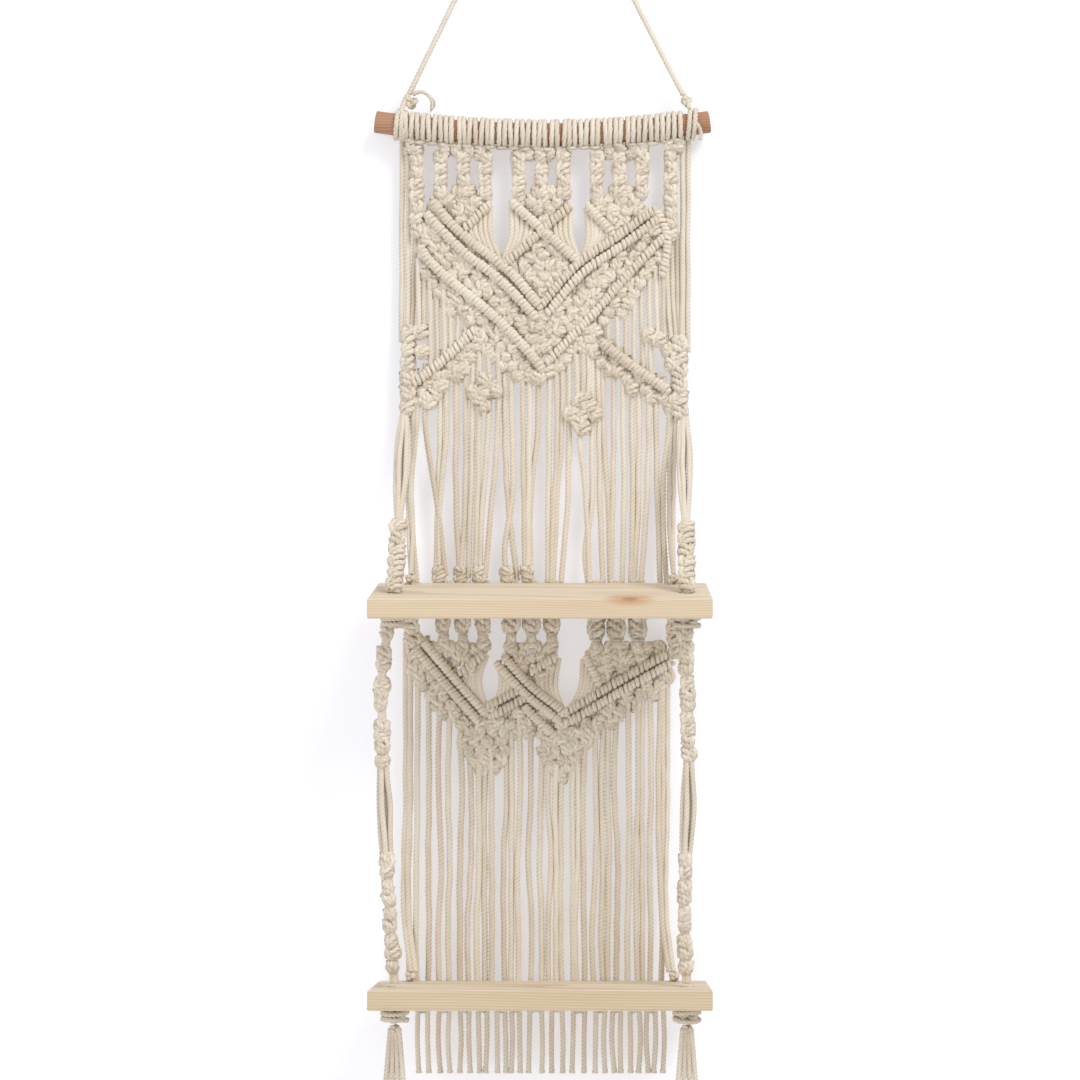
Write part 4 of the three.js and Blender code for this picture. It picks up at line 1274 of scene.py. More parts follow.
@dataclass
class UpperColumns:
    """The columns of square knots and the straight edge cords under the dowel."""

    middles_px: Values = (440, 464, 486, 518.5, 542, 564, 597, 620.5, 641.5)
    top_px: float = 152.0
    end_px: float = 198.0
    knots: int = 4
    sway_px: float = 1.5
    half: Pair = (0.0045, 0.0042)
    radius: float = 0.0028
    depth: float = 0.003
    edges_px: tuple = (("left", 416.5, 144, 236, 8), ("right", 670.5, 140, 240, 9))
    cords_px: tuple = (
        ("left", ((402, 140), (401.5, 240), (401, 342)), ((408, 140), (408, 240), (407, 342)),
         ((415, 232), (413.5, 280), (411, 342))),
        ("right", ((682.5, 140), (683, 240), (682, 352)), ((688.5, 140), (688, 250), (688, 352)),
         ((666, 236), (667, 290), (672, 352)), ((671.5, 236), (673, 290), (677, 352)),
         ((677, 232), (678, 290), (680, 352))),
    )

    def build(self, cotton: Material) -> None:
        """Makes every column and edge cord, which hang from the dowel to the panel.

        Args:
            cotton: Their finish.
        """
        rng = np.random.default_rng(21)
        for number, x in enumerate(self.middles_px, start=1):
            work = CordWork(f"column_{number}", rng)
            middle = x + rng.uniform(-self.sway_px, self.sway_px), (self.top_px + self.end_px) / 2
            line = on_panel([(x, self.top_px), middle, (x, self.end_px)])
            work.sinnet(line, self.knots, self.half, self.radius)
            self._hang(work, cotton, f"sinnet_{number}")
        for side, x, top, end, knots in self.edges_px:
            work = CordWork("edge_column_" + side, rng)
            line = on_panel([(x, top), (x, (top + end) / 2), (x, end)])
            work.sinnet(line, knots, self.half, self.radius)
            self._hang(work, cotton, "edge_sinnet_" + side)
            work = CordWork("edge_cords_" + side, rng)
            for lines in of_part(self.cords_px, side):
                work.strands([on_panel(line, self.depth) for line in lines], self.radius)
            self._hang(work, cotton, "edge_cord_" + side)

    def _hang(self, work: CordWork, cotton: Material, node: str) -> None:
        """Builds a column in place, hides its node and reports it as lying between the hanger and
        the panel.
        """
        bent(work.build(cotton), ("hanger", "panel"), (0, 0, -0.282), (0, 0, -0.31), node)


@dataclass
class UpperKnotwork:
    """The upper net's fields of knots and rows of hitches, with its two tails and side knots."""

    fields: tuple = (
        ("left", ((430, 192), (489, 192), (489, 209), (491, 236), (501, 264), (541, 306),
                  (541, 384), (526, 384), (505, 372), (482, 350), (472, 330), (452, 314),
                  (436, 298), (424, 282), (420, 232), (426, 206))),
        ("centre", ((513, 192), (570, 192), (571, 209), (571, 236), (582, 262), (541, 303),
                    (501, 264), (511, 236), (511, 209))),
        ("right", ((593, 192), (648, 192), (655, 208), (664, 232), (662, 268), (634, 304),
                   (606, 328), (588, 348), (566, 360), (541, 384), (541, 303), (582, 262),
                   (587, 236), (587, 209))),
        ("tail_left", ((474, 338), (482, 350), (462, 374), (430, 406), (410, 404), (414, 386))),
        ("tail_right", ((598, 342), (608, 344), (666, 388), (680, 398), (674, 414), (640, 396),
                        (590, 360))),
    )
    filled: tuple = (
        ((491, 212), (490, 236), (500, 261), (478, 243), (468, 231)),
        ((511, 212), (513, 232), (504, 262), (521, 248), (533, 236)),
        ((571, 212), (572, 235), (579, 260), (562, 249), (549, 236)),
        ((587, 212), (588, 236), (581, 260), (596, 247), (606, 238)),
    )
    rows: tuple = (
        ("left", Row.TIGHT, 0.005, ((431, 200), (453, 226), (473, 243), (495, 260), (512, 274),
                                    (532, 297), (541, 307))),
        ("left", Row.TIGHT, 0.005, ((426, 214), (445, 234), (468, 256), (488, 270.5), (502, 282),
                                    (518, 298), (537, 319))),
        ("left", Row.TIGHT, 0.005, ((420, 247), (427, 258), (445, 276), (462, 290), (482, 306),
                                    (502, 324), (517, 339), (543, 369))),
        ("left", Row.LOOSE, 0.0047, ((491, 203), (465, 229))),
        ("centre", Row.TIGHT, 0.0049, ((511, 202), (541, 229), (578, 261))),
        ("centre", Row.LOOSE, 0.0047, ((571, 205), (541, 232), (503, 266))),
        ("right", Row.TIGHT, 0.0048, ((587, 206), (613, 234))),
        ("right", Row.LOOSE, 0.0047, ((655, 209), (616, 238), (578, 264), (541, 306))),
        ("right", Row.LOOSE, 0.0047, ((661, 217), (622, 246), (584, 272), (547, 314))),
        ("right", Row.LOOSE, 0.0045, ((667, 234), (640, 262), (590, 318), (546, 364))),
        ("right", Row.LOOSE, 0.0045, ((656, 211), (665, 228), (667, 250), (662, 276))),
        ("tail_left", Row.LOOSE, 0.0052, ((475, 330), (448, 356), (414, 384))),
        ("tail_right", Row.TIGHT, 0.0054, ((601, 342), (634, 368), (669, 391))),
    )
    fans: tuple = (
        ("left", ((491, 205), (490.5, 232), (500, 261)), ((470, 225), (471, 233), (476, 241)), 5),
        ("centre", ((511, 207), (512, 232), (503, 263)), ((533, 227), (530, 236), (525, 244)), 5),
        ("centre", ((571, 208), (570.5, 234), (579, 260)), ((549, 229), (552, 237), (558, 245)), 5),
        ("right", ((586, 208), (588.5, 236), (582, 260)), ((607, 229), (604, 237), (599, 244)), 5),
    )
    short_cords: tuple = (
        ("tail_left", ((424, 272), (424, 330)), ((430, 278), (431, 374)),
         ((437, 286), (437, 368)), ((444, 294), (445, 362)), ((451, 300), (451, 356)),
         ((458, 308), (458, 350)), ((465, 314), (466, 344)), ((418, 258), (419, 326))),
        ("tail_right", ((608, 324), (609, 354)), ((617, 316), (618, 360)),
         ((626, 306), (626, 366)), ((634, 296), (634, 370)), ((641, 286), (643, 376)),
         ((649, 275), (651, 382)), ((656, 266), (658, 338)), ((663, 258), (664, 340))),
    )
    side_knots: tuple = (
        ("left", 0.0052, ((409, 328), (408, 372), (408, 414)), 6),
        ("right", 0.0062, ((679, 338), (679, 376), (680, 418)), 6),
    )
    lone_knots: tuple = (
        ("left", (542, 317), (538, 326), (538, 377)),
        ("right", (656, 229), (548, 371)),
        ("tail_left", (478, 336), (423, 352), (421, 332), (424, 399), (441, 386), (460, 371)),
        ("tail_right", (648, 335), (659, 340), (669, 350), (676, 400), (672, 364)),
    )
    lone_half: Place = (0.0056, 0.0045, 0.0044)
    nodes: tuple = (
        ("left", "upper_net_left"), ("centre", "upper_net_centre"), ("right", "upper_net_right"),
        ("tail_left", "tail_left"), ("tail_right", "tail_right"),
    )

    def build(self, cotton: Material) -> None:
        """Makes each part of the net, its rows of hitches and the side knots.

        Args:
            cotton: Their finish.
        """
        rng = np.random.default_rng(33)
        hitched = [row[-1] for row in self.rows]
        for place, node in self.nodes:
            work = CordWork(node + "_knots", rng)
            for (outline,) in of_part(self.fields, place):
                work.knot_field(outline, UPPER_GAPS, self.filled, hitched)
            for row, half, line in of_part(self.rows, place):
                work.hitch_bar(on_panel(line), half, row)
                work.crossing_cords(line, UPPER_GAPS)
            for first, last, count in of_part(self.fans, place):
                work.strands(fan(first, last, count), radius=0.0028, depth=0.0004)
            for lines in of_part(self.short_cords, place):
                work.strands([on_panel(line) for line in lines], radius=0.0027, depth=0.0018)
            for spots in of_part(self.lone_knots, place):
                work.square_knots(on_panel(spots), self.lone_half, radius=0.0029)
            dressed(work.build(cotton), "panel", node)
        for side, half, line, knots in self.side_knots:
            work = CordWork("side_knots_" + side + "_cords", rng)
            work.sinnet(on_panel(line), knots, (half, 0.005), radius=0.0031)
            dressed(work.build(cotton), "panel", "side_knots_" + side)


@dataclass
class UpperStrands:
    """The straight strands from the upper net to the gather knots at the upper board. The edge
    strands end in the rear holes, given by Y and Z, and before that pass through the lead's Y."""

    bundle_edges_px: Values = (448, 469, 494, 518.5, 541, 571, 599, 628)
    lines: tuple[Points, ...] = (
        ((425, 404), (425, 420), (436, 496), (446, 576)),
        ((440, 390), (440, 420), (438, 496), (436, 569)),
        ((446, 384), (446, 434), (439, 512), (439, 576)),
        ((456, 376), (456, 420), (456, 500), (460, 581)),
        ((465.6, 366), (465.6, 420), (464.5, 512), (460, 578)),
        ((472.5, 356), (472.5, 420), (470, 512), (468, 578)),
        ((479, 346), (479, 420), (477, 512), (475, 578)),
        ((488.6, 340), (488.6, 420), (482, 512), (479.4, 578)),
        ((498, 346), (498, 420), (491, 512), (485, 578)),
        ((504.6, 354), (504.6, 420), (507, 489), (517, 581)),
        ((511.5, 358), (511.5, 420), (513, 489), (504.6, 558), (507, 581)),
        ((523, 368), (523, 420), (524, 512), (525, 581)),
        ((530, 368), (529, 460), (528, 530), (528, 581)),
        ((538, 366), (538, 420), (530, 512), (531, 581)),
        ((549.4, 362), (549.4, 420), (548, 512), (548, 583)),
        ((556, 358), (557, 440), (553, 520), (551, 583)),
        ((562, 350), (562, 420), (557, 500), (553, 583)),
        ((569, 356), (569, 427), (567, 512), (561, 583)),
        ((576, 354), (578, 400), (579, 427), (586, 500), (589.6, 583)),
        ((592, 350), (592, 434), (591, 512), (585, 558), (588, 583)),
        ((598, 358), (599, 420), (600, 500), (603, 583)),
        ((603, 360), (603, 420), (608, 500), (610, 583)),
        ((613.7, 368), (613.7, 420), (612.5, 512), (611, 583)),
        ((623, 374), (623, 420), (624, 489), (622, 583)),
        ((632, 380), (632, 420), (633, 500), (631, 583)),
        ((639, 386), (639, 420), (638, 512), (634, 583)),
        ((649, 392), (649, 420), (646, 512), (641, 583)),
        ((656, 396), (656, 420), (658, 512), (660, 583)),
        ((669, 404), (669, 420), (663, 489), (665, 558), (666.5, 583)),
        ((418, 404), (416, 430), (411, 500), (417, 583)),
        ((583, 350), (583.5, 372), (583, 384), (582, 406)),
        ((588, 350), (589, 376), (588, 390), (587, 410)),
    )
    clusters_px: Points = ((485, 396), (583, 418))
    cluster_spots_px: Points = (
        (0, -17), (-11.5, -4), (11.5, -4), (0, 10), (0, -4), (-6, 3), (6, -11)
    )
    cluster_half: Place = (0.0056, 0.0042, 0.0046)
    gathers_px: Values = (439, 460, 479.4, 507, 527.6)
    gather_spots_px: Points = ((-0.5, 571.5), (0, 578.5))
    gather_half: Place = (0.0046, 0.0038, 0.0036)
    edge_lines: tuple = (
        ("left", ((409, 404), (407, 480), (409, 540), (411.5, 583)),
         ((414, 404), (412, 480), (413, 540), (413, 583))),
        ("right", ((676, 404), (674, 480), (673, 540), (675, 583)),
         ((671, 404), (669.5, 480), (670, 540), (673, 583))),
    )
    edge_radius: float = 0.0024
    edge_lead: float = -0.004
    rear_hole: Pair = (-0.0148, -0.672)

    def build(self, cotton: Material) -> None:
        """Makes nine bundles, with two diamonds of knots, and the two edge bundles.

        Args:
            cotton: Their finish.
        """
        rng = np.random.default_rng(47)
        works = [CordWork(f"strands_{k}", rng) for k in range(1, 10)]

        def bundle_at(x: float) -> CordWork:
            """The bundle whose stretch of the board holds x."""
            return works[int(np.searchsorted(self.bundle_edges_px, x))]

        for line in self.lines:
            bundle_at(line[-1][0]).strands([on_panel(line, 0.0006)], depth=0.002)
        for x, y in self.clusters_px:
            spots = on_panel([(x + dx, y + dy) for dx, dy in self.cluster_spots_px], -0.0012)
            bundle_at(x).square_knots(spots, self.cluster_half, 0.0027, wobble=0.25)
        for x in self.gathers_px:
            spots = on_panel([(x + dx, y) for dx, y in self.gather_spots_px], -0.0005)
            bundle_at(x).square_knots(spots, self.gather_half, 0.0022)
        for k, work in enumerate(works, start=1):
            dressed(work.build(cotton), "panel", f"bundle_{k}")
        for side, sign in SIDES:
            work = CordWork("edge_strands_" + side, rng)
            for path in on_panel(of_part(self.edge_lines, side)[0]):
                path[-1] = (sign * REAR_HOLE_X, *self.rear_hole)
                path[-2][1] = self.edge_lead
                work.strands([path], self.edge_radius)
            bent(work.build(cotton), ("panel", "upper_board"), (0, 0, -0.645),
                 (0, *self.rear_hole), "edge_bundle_" + side)


@dataclass
class UpperSideRopes:
    """The ropes from the side knots forward and down to the upper board's front holes."""

    routes: tuple[tuple[str, Place, Place], ...] = (
        ("left", (-0.126, 0.0, -0.5205), (-0.129, -0.082, -0.6862)),
        ("right", (0.1302, 0.0, -0.524), (0.129, -0.082, -0.6862)),
    )
    loose_share: float = 0.63
    fan_out: float = 0.0042
    least_spread: float = 0.0012
    round_share: float = 0.6
    first_turn: float = 0.5
    strands: int = 5
    strand_radius: float = 0.0027
    knots: int = 6
    knot_half: Pair = (0.006, 0.0052)
    knot_radius: float = 0.0028

    def build(self, cotton: Material) -> None:
        """Makes each rope: loose strands that fan out and meet again, then square knots.

        Args:
            cotton: Their finish.
        """
        rng = np.random.default_rng(58)
        t = np.linspace(0, 1, 5)[:, None]
        spread = self.fan_out * np.sin(np.pi * np.clip(t * 1.04, 0, 1)) + self.least_spread
        for side, top, seat in self.routes:
            work = CordWork("upper_rope_" + side, rng)
            start, end = np.array(top), np.array(seat)
            bend = start + (end - start) * self.loose_share
            for k in range(self.strands):
                angle = 2 * np.pi * k / self.strands + self.first_turn
                turn = np.array([np.cos(angle), self.round_share * np.sin(angle), 0.0])
                line = start + (bend - start) * t + spread * turn
                work.strands([line], self.strand_radius, depth=0.0003)
            line = np.array([bend, (bend + end) / 2, end])
            work.sinnet(line, self.knots, self.knot_half, self.knot_radius)
            bent(work.build(cotton), ("panel", "upper_board"), (0, 0, -0.53), (0, -0.075, -0.68),
                 "upper_side_rope_" + side)


@dataclass
class Board:
    """One of the two pine boards, with the cords tied through its holes. Cords are given by their
    places round the hole's middle, and a turn by its height over the knot and its lean. A reach is
    how far below a tie's top its cords start and how far above its foot they end."""

    level: str
    wood: Wood
    seed: int
    edge: float = 0.0006
    front_cords: Points = (
        (-0.0022, -0.002), (0.0024, -0.0014), (-0.0018, 0.0024), (0.0022, 0.0022)
    )
    front_reach: Pair = (0.0004, 0.008)
    front_radius: float = 0.0024
    front_rise: float = 0.0055
    front_half: Place = (0.0112, 0.0085, 0.0066)
    front_knot_radius: float = 0.0029
    turn_half: Pair = (0.0108, 0.0078)
    turn_radius: float = 0.0027
    turns: Points = ((0.0034, 0.0008), (-0.0026, -0.001))
    rear_cords: Points = ((-0.0022, 0.0), (0.0022, 0.0))
    rear_reach: Pair = (0.006, 0.002)
    rear_radius: float = 0.0022
    top_drop: float = 0.0058
    top_half: Place = (0.0056, 0.0056, 0.0048)
    foot_rise: float = 0.0022
    foot_half: Place = (0.006, 0.0055, 0.0024)
    foot_radius: float = 0.0019

    def build(self, grain: Tree, cotton: Material) -> None:
        """Gives the board its wood and softened edges, and makes its ties.

        Args:
            grain: The wood grain's node group.
            cotton: The ties' finish.
        """
        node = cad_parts[self.level + "_board"]
        node.data.materials.clear()
        node.data.materials.append(self.wood.material(grain))
        weld = node.modifiers.new("merged", "WELD")
        weld.merge_threshold = 0.00002
        soft = node.modifiers.new("worn_edges", "BEVEL")
        soft.width = self.edge
        soft.segments = 2
        soft.limit_method = "ANGLE"
        soft.angle_limit = 0.7
        LOG.info("%s board keeps its CAD mesh", self.level)
        rng = np.random.default_rng(self.seed)
        for side, _ in SIDES:
            for kind, tie in (("front", self._front_tie), ("rear", self._rear_tie)):
                name = f"{kind}_tie_{self.level}_{side}"
                work = CordWork(name + "_cords", rng)
                tie(work, *(np.array(corner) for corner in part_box(name)))
                dressed(work.build(cotton), self.level + "_board", name)

    def _front_tie(self, work: CordWork, low: Array, high: Array) -> None:
        """Adds the cords in a front hole and the bulky knot under the board with two closed turns.

        Args:
            work: The piece that they go into.
            low: The tie's lowest corner.
            high: Its highest corner.
        """
        x, y, middle = (low + high) / 2
        drop, rise = self.front_reach
        for dx, dy in self.front_cords:
            line = [(x + dx, y + dy, z) for z in (high[2] - drop, middle, low[2] + rise)]
            work.strands([line], self.front_radius, depth=0.0)
        knot = np.array([x, y, low[2] + self.front_rise])
        work.wound_knot(knot, self.front_half, self.front_knot_radius)
        angle = np.linspace(0, 2 * np.pi, 21)
        wide, deep = self.turn_half
        for rise, lean in self.turns:
            tilt = lean * np.cos(angle + np.sign(x))
            turn = np.stack([wide * np.cos(angle), deep * np.sin(angle), rise + tilt], axis=1)
            work.lay(knot + turn, self.turn_radius)

    def _rear_tie(self, work: CordWork, low: Array, high: Array) -> None:
        """Adds the round knot above a rear hole, the small knot below it and its cords.

        Args:
            work: The piece that they go into.
            low: The tie's lowest corner.
            high: Its highest corner.
        """
        x, y, middle = (low + high) / 2
        work.wound_knot((x, y, high[2] - self.top_drop), self.top_half, self.rear_radius)
        work.wound_knot((x, y, low[2] + self.foot_rise), self.foot_half, self.foot_radius)
        drop, rise = self.rear_reach
        for dx, dy in self.rear_cords:
            line = [(x + dx, y + dy, z) for z in (high[2] - drop, middle, low[2] + rise)]
            work.strands([line], self.rear_radius, depth=0.0)


@dataclass
class LowerSideRopes:
    """The ropes between the boards: knots, a loose stretch and knots again. A rope is its side,
    its points, and the shares of its length at which its upper knots lie."""

    ropes: tuple = (
        ("left", ((-0.1335, -0.0805, -0.7135), (-0.1385, -0.0798, -0.741),
                  (-0.1405, -0.0795, -0.77), (-0.1398, -0.0795, -0.825),
                  (-0.1385, -0.0798, -0.87), (-0.1368, -0.08, -0.912),
                  (-0.1332, -0.08, -0.98), (-0.1295, -0.08, -1.0327)),
         (0.03, 0.09, 0.117, 0.175, 0.2, 0.226, 0.29, 0.316, 0.345, 0.385)),
        ("right", ((0.1275, -0.0805, -0.7135), (0.1285, -0.0798, -0.741),
                   (0.1295, -0.0795, -0.77), (0.1305, -0.0795, -0.825),
                   (0.1308, -0.0798, -0.87), (0.1284, -0.08, -0.912),
                   (0.1268, -0.08, -0.98), (0.129, -0.08, -1.0327)),
         (0.03, 0.07, 0.1, 0.13, 0.17, 0.2, 0.23, 0.27, 0.3, 0.33, 0.365)),
    )
    low_knots: Values = (0.66, 0.69, 0.735, 0.765, 0.81, 0.84, 0.885, 0.915, 0.955)
    steps: int = 200
    knot_shift: float = 0.0008
    knot_half: Place = (0.0046, 0.0046, 0.0046)
    knot_radius: float = 0.0029
    strands: int = 4
    strand_radius: float = 0.0027
    close: float = 0.0018
    apart: float = 0.0036
    loose_middle: float = 0.52
    loose_width: float = 0.13
    round_share: float = 0.7
    first_turn: float = 0.4
    twist: float = 1.6

    def build(self, cotton: Material) -> None:
        """Makes each rope as knots at the shares along it, joined by strands that turn slowly
        round each other and spread in the loose stretch.

        Args:
            cotton: Their finish.
        """
        rng = np.random.default_rng(71)
        t = np.linspace(0, 1, 11)
        loose = np.exp(-(((t - self.loose_middle) / self.loose_width) ** 2))
        reach = (self.close + self.apart * loose)[:, None]
        for side, route, high_knots in self.ropes:
            work = CordWork("lower_rope_" + side, rng)
            fine = curve(route, self.steps + 1)
            along = np.array(high_knots + self.low_knots)
            centres = fine[np.round(along * self.steps).astype(int)]
            centres[:, 0] += rng.uniform(-self.knot_shift, self.knot_shift, len(centres))
            work.square_knots(centres, self.knot_half, self.knot_radius, wobble=0.16)
            for k in range(self.strands):
                angle = 2 * np.pi * k / self.strands + self.first_turn + self.twist * t
                aside, ahead = np.cos(angle), self.round_share * np.sin(angle)
                line = fine[::20] + reach * np.stack([aside, ahead, np.zeros_like(t)], axis=1)
                work.strands([line], self.strand_radius, depth=0.0003)
            dressed(work.build(cotton), "lower_ropes", "lower_side_rope_" + side)


LOWER_GAPS = (
    ((490, 616), (499, 616), (499, 655), (501, 690), (496, 702), (487, 709), (481, 692),
     (479, 676), (489, 658)),
    ((561, 616), (582, 616), (581, 655), (579, 687), (567, 711), (560, 704), (555, 688),
     (560, 658)),
    ((424, 616), (434, 616), (433, 634), (424, 636)),
)


@dataclass
class LowerKnotwork:
    """The columns, net and strands between the boards. A barrel, the bulge of a column, is given
    by the x below which it holds, its half width and where it ends. The outer strands end in the
    rear holes, given by Y and Z, and before that pass through the lead's Y."""

    columns_px: Values = (443.5, 463, 483, 511, 531.5, 552, 596, 616.5, 638)
    net: tuple = (
        (414, 640), (426, 643), (668, 643), (674, 660), (668, 686), (640, 706), (608, 726),
        (590, 738), (580, 762), (562, 778), (546, 766), (538, 744), (526, 730), (508, 736),
        (503, 762), (484, 776), (463, 760), (459, 738), (446, 716), (428, 700), (410, 682),
        (406, 655),
    )
    filled: tuple = (
        ((486, 664), (483, 680), (485, 704), (474, 692), (468, 680)),
        ((500, 668), (503, 686), (499, 704), (508, 698), (518, 688)),
        ((558, 666), (556, 684), (562, 710), (548, 698), (539, 684)),
        ((582, 666), (581, 684), (572, 708), (584, 702), (592, 688)),
    )
    rows: tuple = (
        (0.0047, Row.TIGHT, ((418.6, 636), (450, 673), (486.5, 714))),
        (0.0047, Row.TIGHT, ((411, 643), (443, 680.5), (478.5, 721))),
        (0.0044, Row.LOOSE, ((484, 653), (460, 673))),
        (0.0047, Row.TIGHT, ((503.5, 656), (529.5, 684), (567.5, 714))),
        (0.0047, Row.TIGHT, ((496.5, 663.5), (522.5, 691.5), (561, 722))),
        (0.0047, Row.TIGHT, ((524, 706), (540, 722), (558, 739))),
        (0.0044, Row.LOOSE, ((556, 656), (531, 672))),
        (0.0045, Row.LOOSE, ((523, 687), (505, 697), (487, 706))),
        (0.0045, Row.LOOSE, ((527, 696), (510, 706), (489, 717))),
        (0.0045, Row.TIGHT, ((585.5, 656), (600, 685))),
        (0.0047, Row.LOOSE, ((668, 653), (620, 680), (562, 714))),
        (0.0047, Row.LOOSE, ((672.5, 662), (625, 689), (567, 723))),
    )
    fans: tuple = (
        (((487, 655), (480, 680), (486, 708)), ((466, 674), (467, 681), (470, 688)), 5),
        (((499, 660), (501, 686), (495, 706)), ((517, 683), (516, 690), (513, 697)), 5),
        (((559, 658), (556, 688), (564, 713)), ((537, 679), (538, 686), (542, 693)), 5),
        (((583, 659), (580, 688), (569, 713)), ((596, 684), (594, 692), (590, 700)), 5),
    )
    joints_px: Points = ((488, 710), (482, 724), (561, 724), (564, 733), (549, 741), (414, 650))
    joint_half: Place = (0.0052, 0.0042, 0.0042)
    strands_px: Points = (
        (409.4, 662), (417.4, 684), (427.7, 694), (439.2, 704), (449.5, 714), (459.9, 740),
        (469, 760), (478.2, 770), (485.1, 772), (490.9, 768), (504.6, 740), (510.4, 724),
        (518.4, 720), (529.9, 722), (541.4, 760), (549, 766), (556.3, 772), (562, 774),
        (573.5, 766), (577, 760), (585, 736), (594, 732), (603.3, 726), (608, 722), (616, 716),
        (627.4, 708), (637.8, 702), (642.4, 698), (649.3, 692), (660.7, 682),
    )
    sway_px: float = 2.2
    sway_heights_px: Values = (790, 860, 930)
    end_px: float = 1002.0
    outer_px: tuple = (("left", -1, 405.5, 640), ("right", 1, 667.6, 660))
    outer_heights_px: Values = (800, 930, 960)
    outer_step: float = 0.0042
    outer_lead: float = -0.003
    rear_hole: Pair = (-0.0128, -1.0345)
    behind_board_px: Points = ((5, 580), (4, 618))
    barrels: tuple[Place, ...] = ((495, 0.0053, 634), (575, 0.0060, 635), (700, 0.0065, 641))
    corners: tuple[Place, ...] = ((-0.12, 414, 656), (0.12, 676, 656))
    corner_knots: int = 4
    corner_half: Pair = (0.0062, 0.0048)
    corner_top: Pair = (-0.0158, -0.7025)

    def build(self, cotton: Material) -> None:
        """Makes the columns, the net with its rows, and the strands down behind the board.

        Args:
            cotton: Their finish.
        """
        rng = np.random.default_rng(83)
        columns = CordWork("lower_columns", rng)
        self._columns(columns)
        self._corners(columns)
        dressed(columns.build(cotton), "panel", "lower_net")
        net = CordWork("lower_net_knots", rng)
        self._net(net)
        dressed(net.build(cotton), "panel")
        for name, sign in SIDES:
            strands = CordWork("lower_strands_" + name, rng)
            tops = [top for top in self.strands_px if (top[0] < VIEW_CENTRE_PX[0]) == (sign < 0)]
            lines = [self._strand(x, top, rng) for x, top in tops]
            strands.strands(lines, radius=0.003, depth=0.0021)
            dressed(strands.build(cotton), "panel")
        for name, sign, x, top in self.outer_px:
            outer = CordWork("outer_strands_" + name, rng)
            path = on_panel([(x, y) for y in (top, *self.outer_heights_px)])
            path[-1] = (sign * REAR_HOLE_X, *self.rear_hole)
            path[-2][1] = self.outer_lead
            outer.strands([path, path - np.array([sign * self.outer_step, 0.0, 0.0])])
            bent(outer.build(cotton), ("panel", "lower_board"), (0, 0, -1.0), (0, *self.rear_hole))

    def _columns(self, work: CordWork) -> None:
        """Adds each column: four cords behind the board, then its bulge and knots.

        Args:
            work: The piece that they go into.
        """
        for x in self.columns_px:
            share = np.linspace(-1, 1, 4)
            lines = np.stack([
                on_panel(np.stack([x + half * share, np.full(4, float(y))], axis=1))
                for half, y in self.behind_board_px
            ], axis=1)
            work.lay(curve(lines, 30), 0.0025, phase=work.rng.uniform(0, 6, 4))
            self._barrel(work, x)

    def _barrel(self, work: CordWork, x: float) -> None:
        """Adds a column's round bulge under the board, its narrow neck and the knots on them.

        Args:
            work: The piece that they go into.
            x: The column's place in pixels.
        """
        _, half, low = next(kind for kind in self.barrels if x < kind[0])
        middle = low - 13
        path = on_panel([
            (x, low - 30), (x, middle - 6), (x, middle + 4), (x, low - 3), (x, low + 9)
        ])
        at, radii = (0, 5, 8, 9.5, 11), (half, half + 0.0012, half, 0.003, 0.0028)
        work.lay(curve(path, 12), np.interp(np.arange(12), at, radii), sides=10, valley=0.0)
        for y in (middle + 1, middle - 14):
            work.square_knots(on_panel([(x, y)]), (half, 0.0046, 0.0072), 0.0032, wobble=0.08)
        work.square_knots(on_panel([(x, low + 3)]), (0.0024, 0.003, 0.0032), 0.0027)
        work.square_knots(on_panel([(x, low + 12)], 0.0006), (0.0044, 0.0036, 0.004), 0.0028)

    def _corners(self, work: CordWork) -> None:
        """Adds the corner columns from the board's rear knots back to the net.

        Args:
            work: The piece that they go into.
        """
        for hole_x, x, y in self.corners:
            top, end = np.array([hole_x, *self.corner_top]), on_panel([(x, y)])[0]
            line = np.array([top, (top + end) / 2, end])
            work.sinnet(line, self.corner_knots, self.corner_half, radius=0.0027)

    def _net(self, work: CordWork) -> None:
        """Adds the field of knots, the rows of hitches, the knots where they meet and the fans.

        Args:
            work: The piece that they go into.
        """
        work.knot_field(self.net, LOWER_GAPS, self.filled, [row[-1] for row in self.rows])
        for half, row, line in self.rows:
            work.hitch_bar(on_panel(line), half, row)
            work.crossing_cords(line, LOWER_GAPS)
        work.square_knots(on_panel(self.joints_px), self.joint_half, radius=0.0028)
        for first, last, count in self.fans:
            work.strands(fan(first, last, count), radius=0.0028, depth=0.0004)

    def _strand(self, x: float, top: float, rng: np.random.Generator) -> Array:
        """The line of a strand from the net down behind the lower board, swaying a little.

        Args:
            x: Its place at the board in pixels.
            top: Where it leaves the net.
            rng: Where its sway comes from.

        Returns:
            Its points in metres.
        """
        sway = rng.uniform(-self.sway_px, self.sway_px, 3)
        swayed = [(x + shift, y) for shift, y in zip(sway, self.sway_heights_px)]
        return on_panel([(x + 0.5, top - 8), *swayed, (x, self.end_px)])


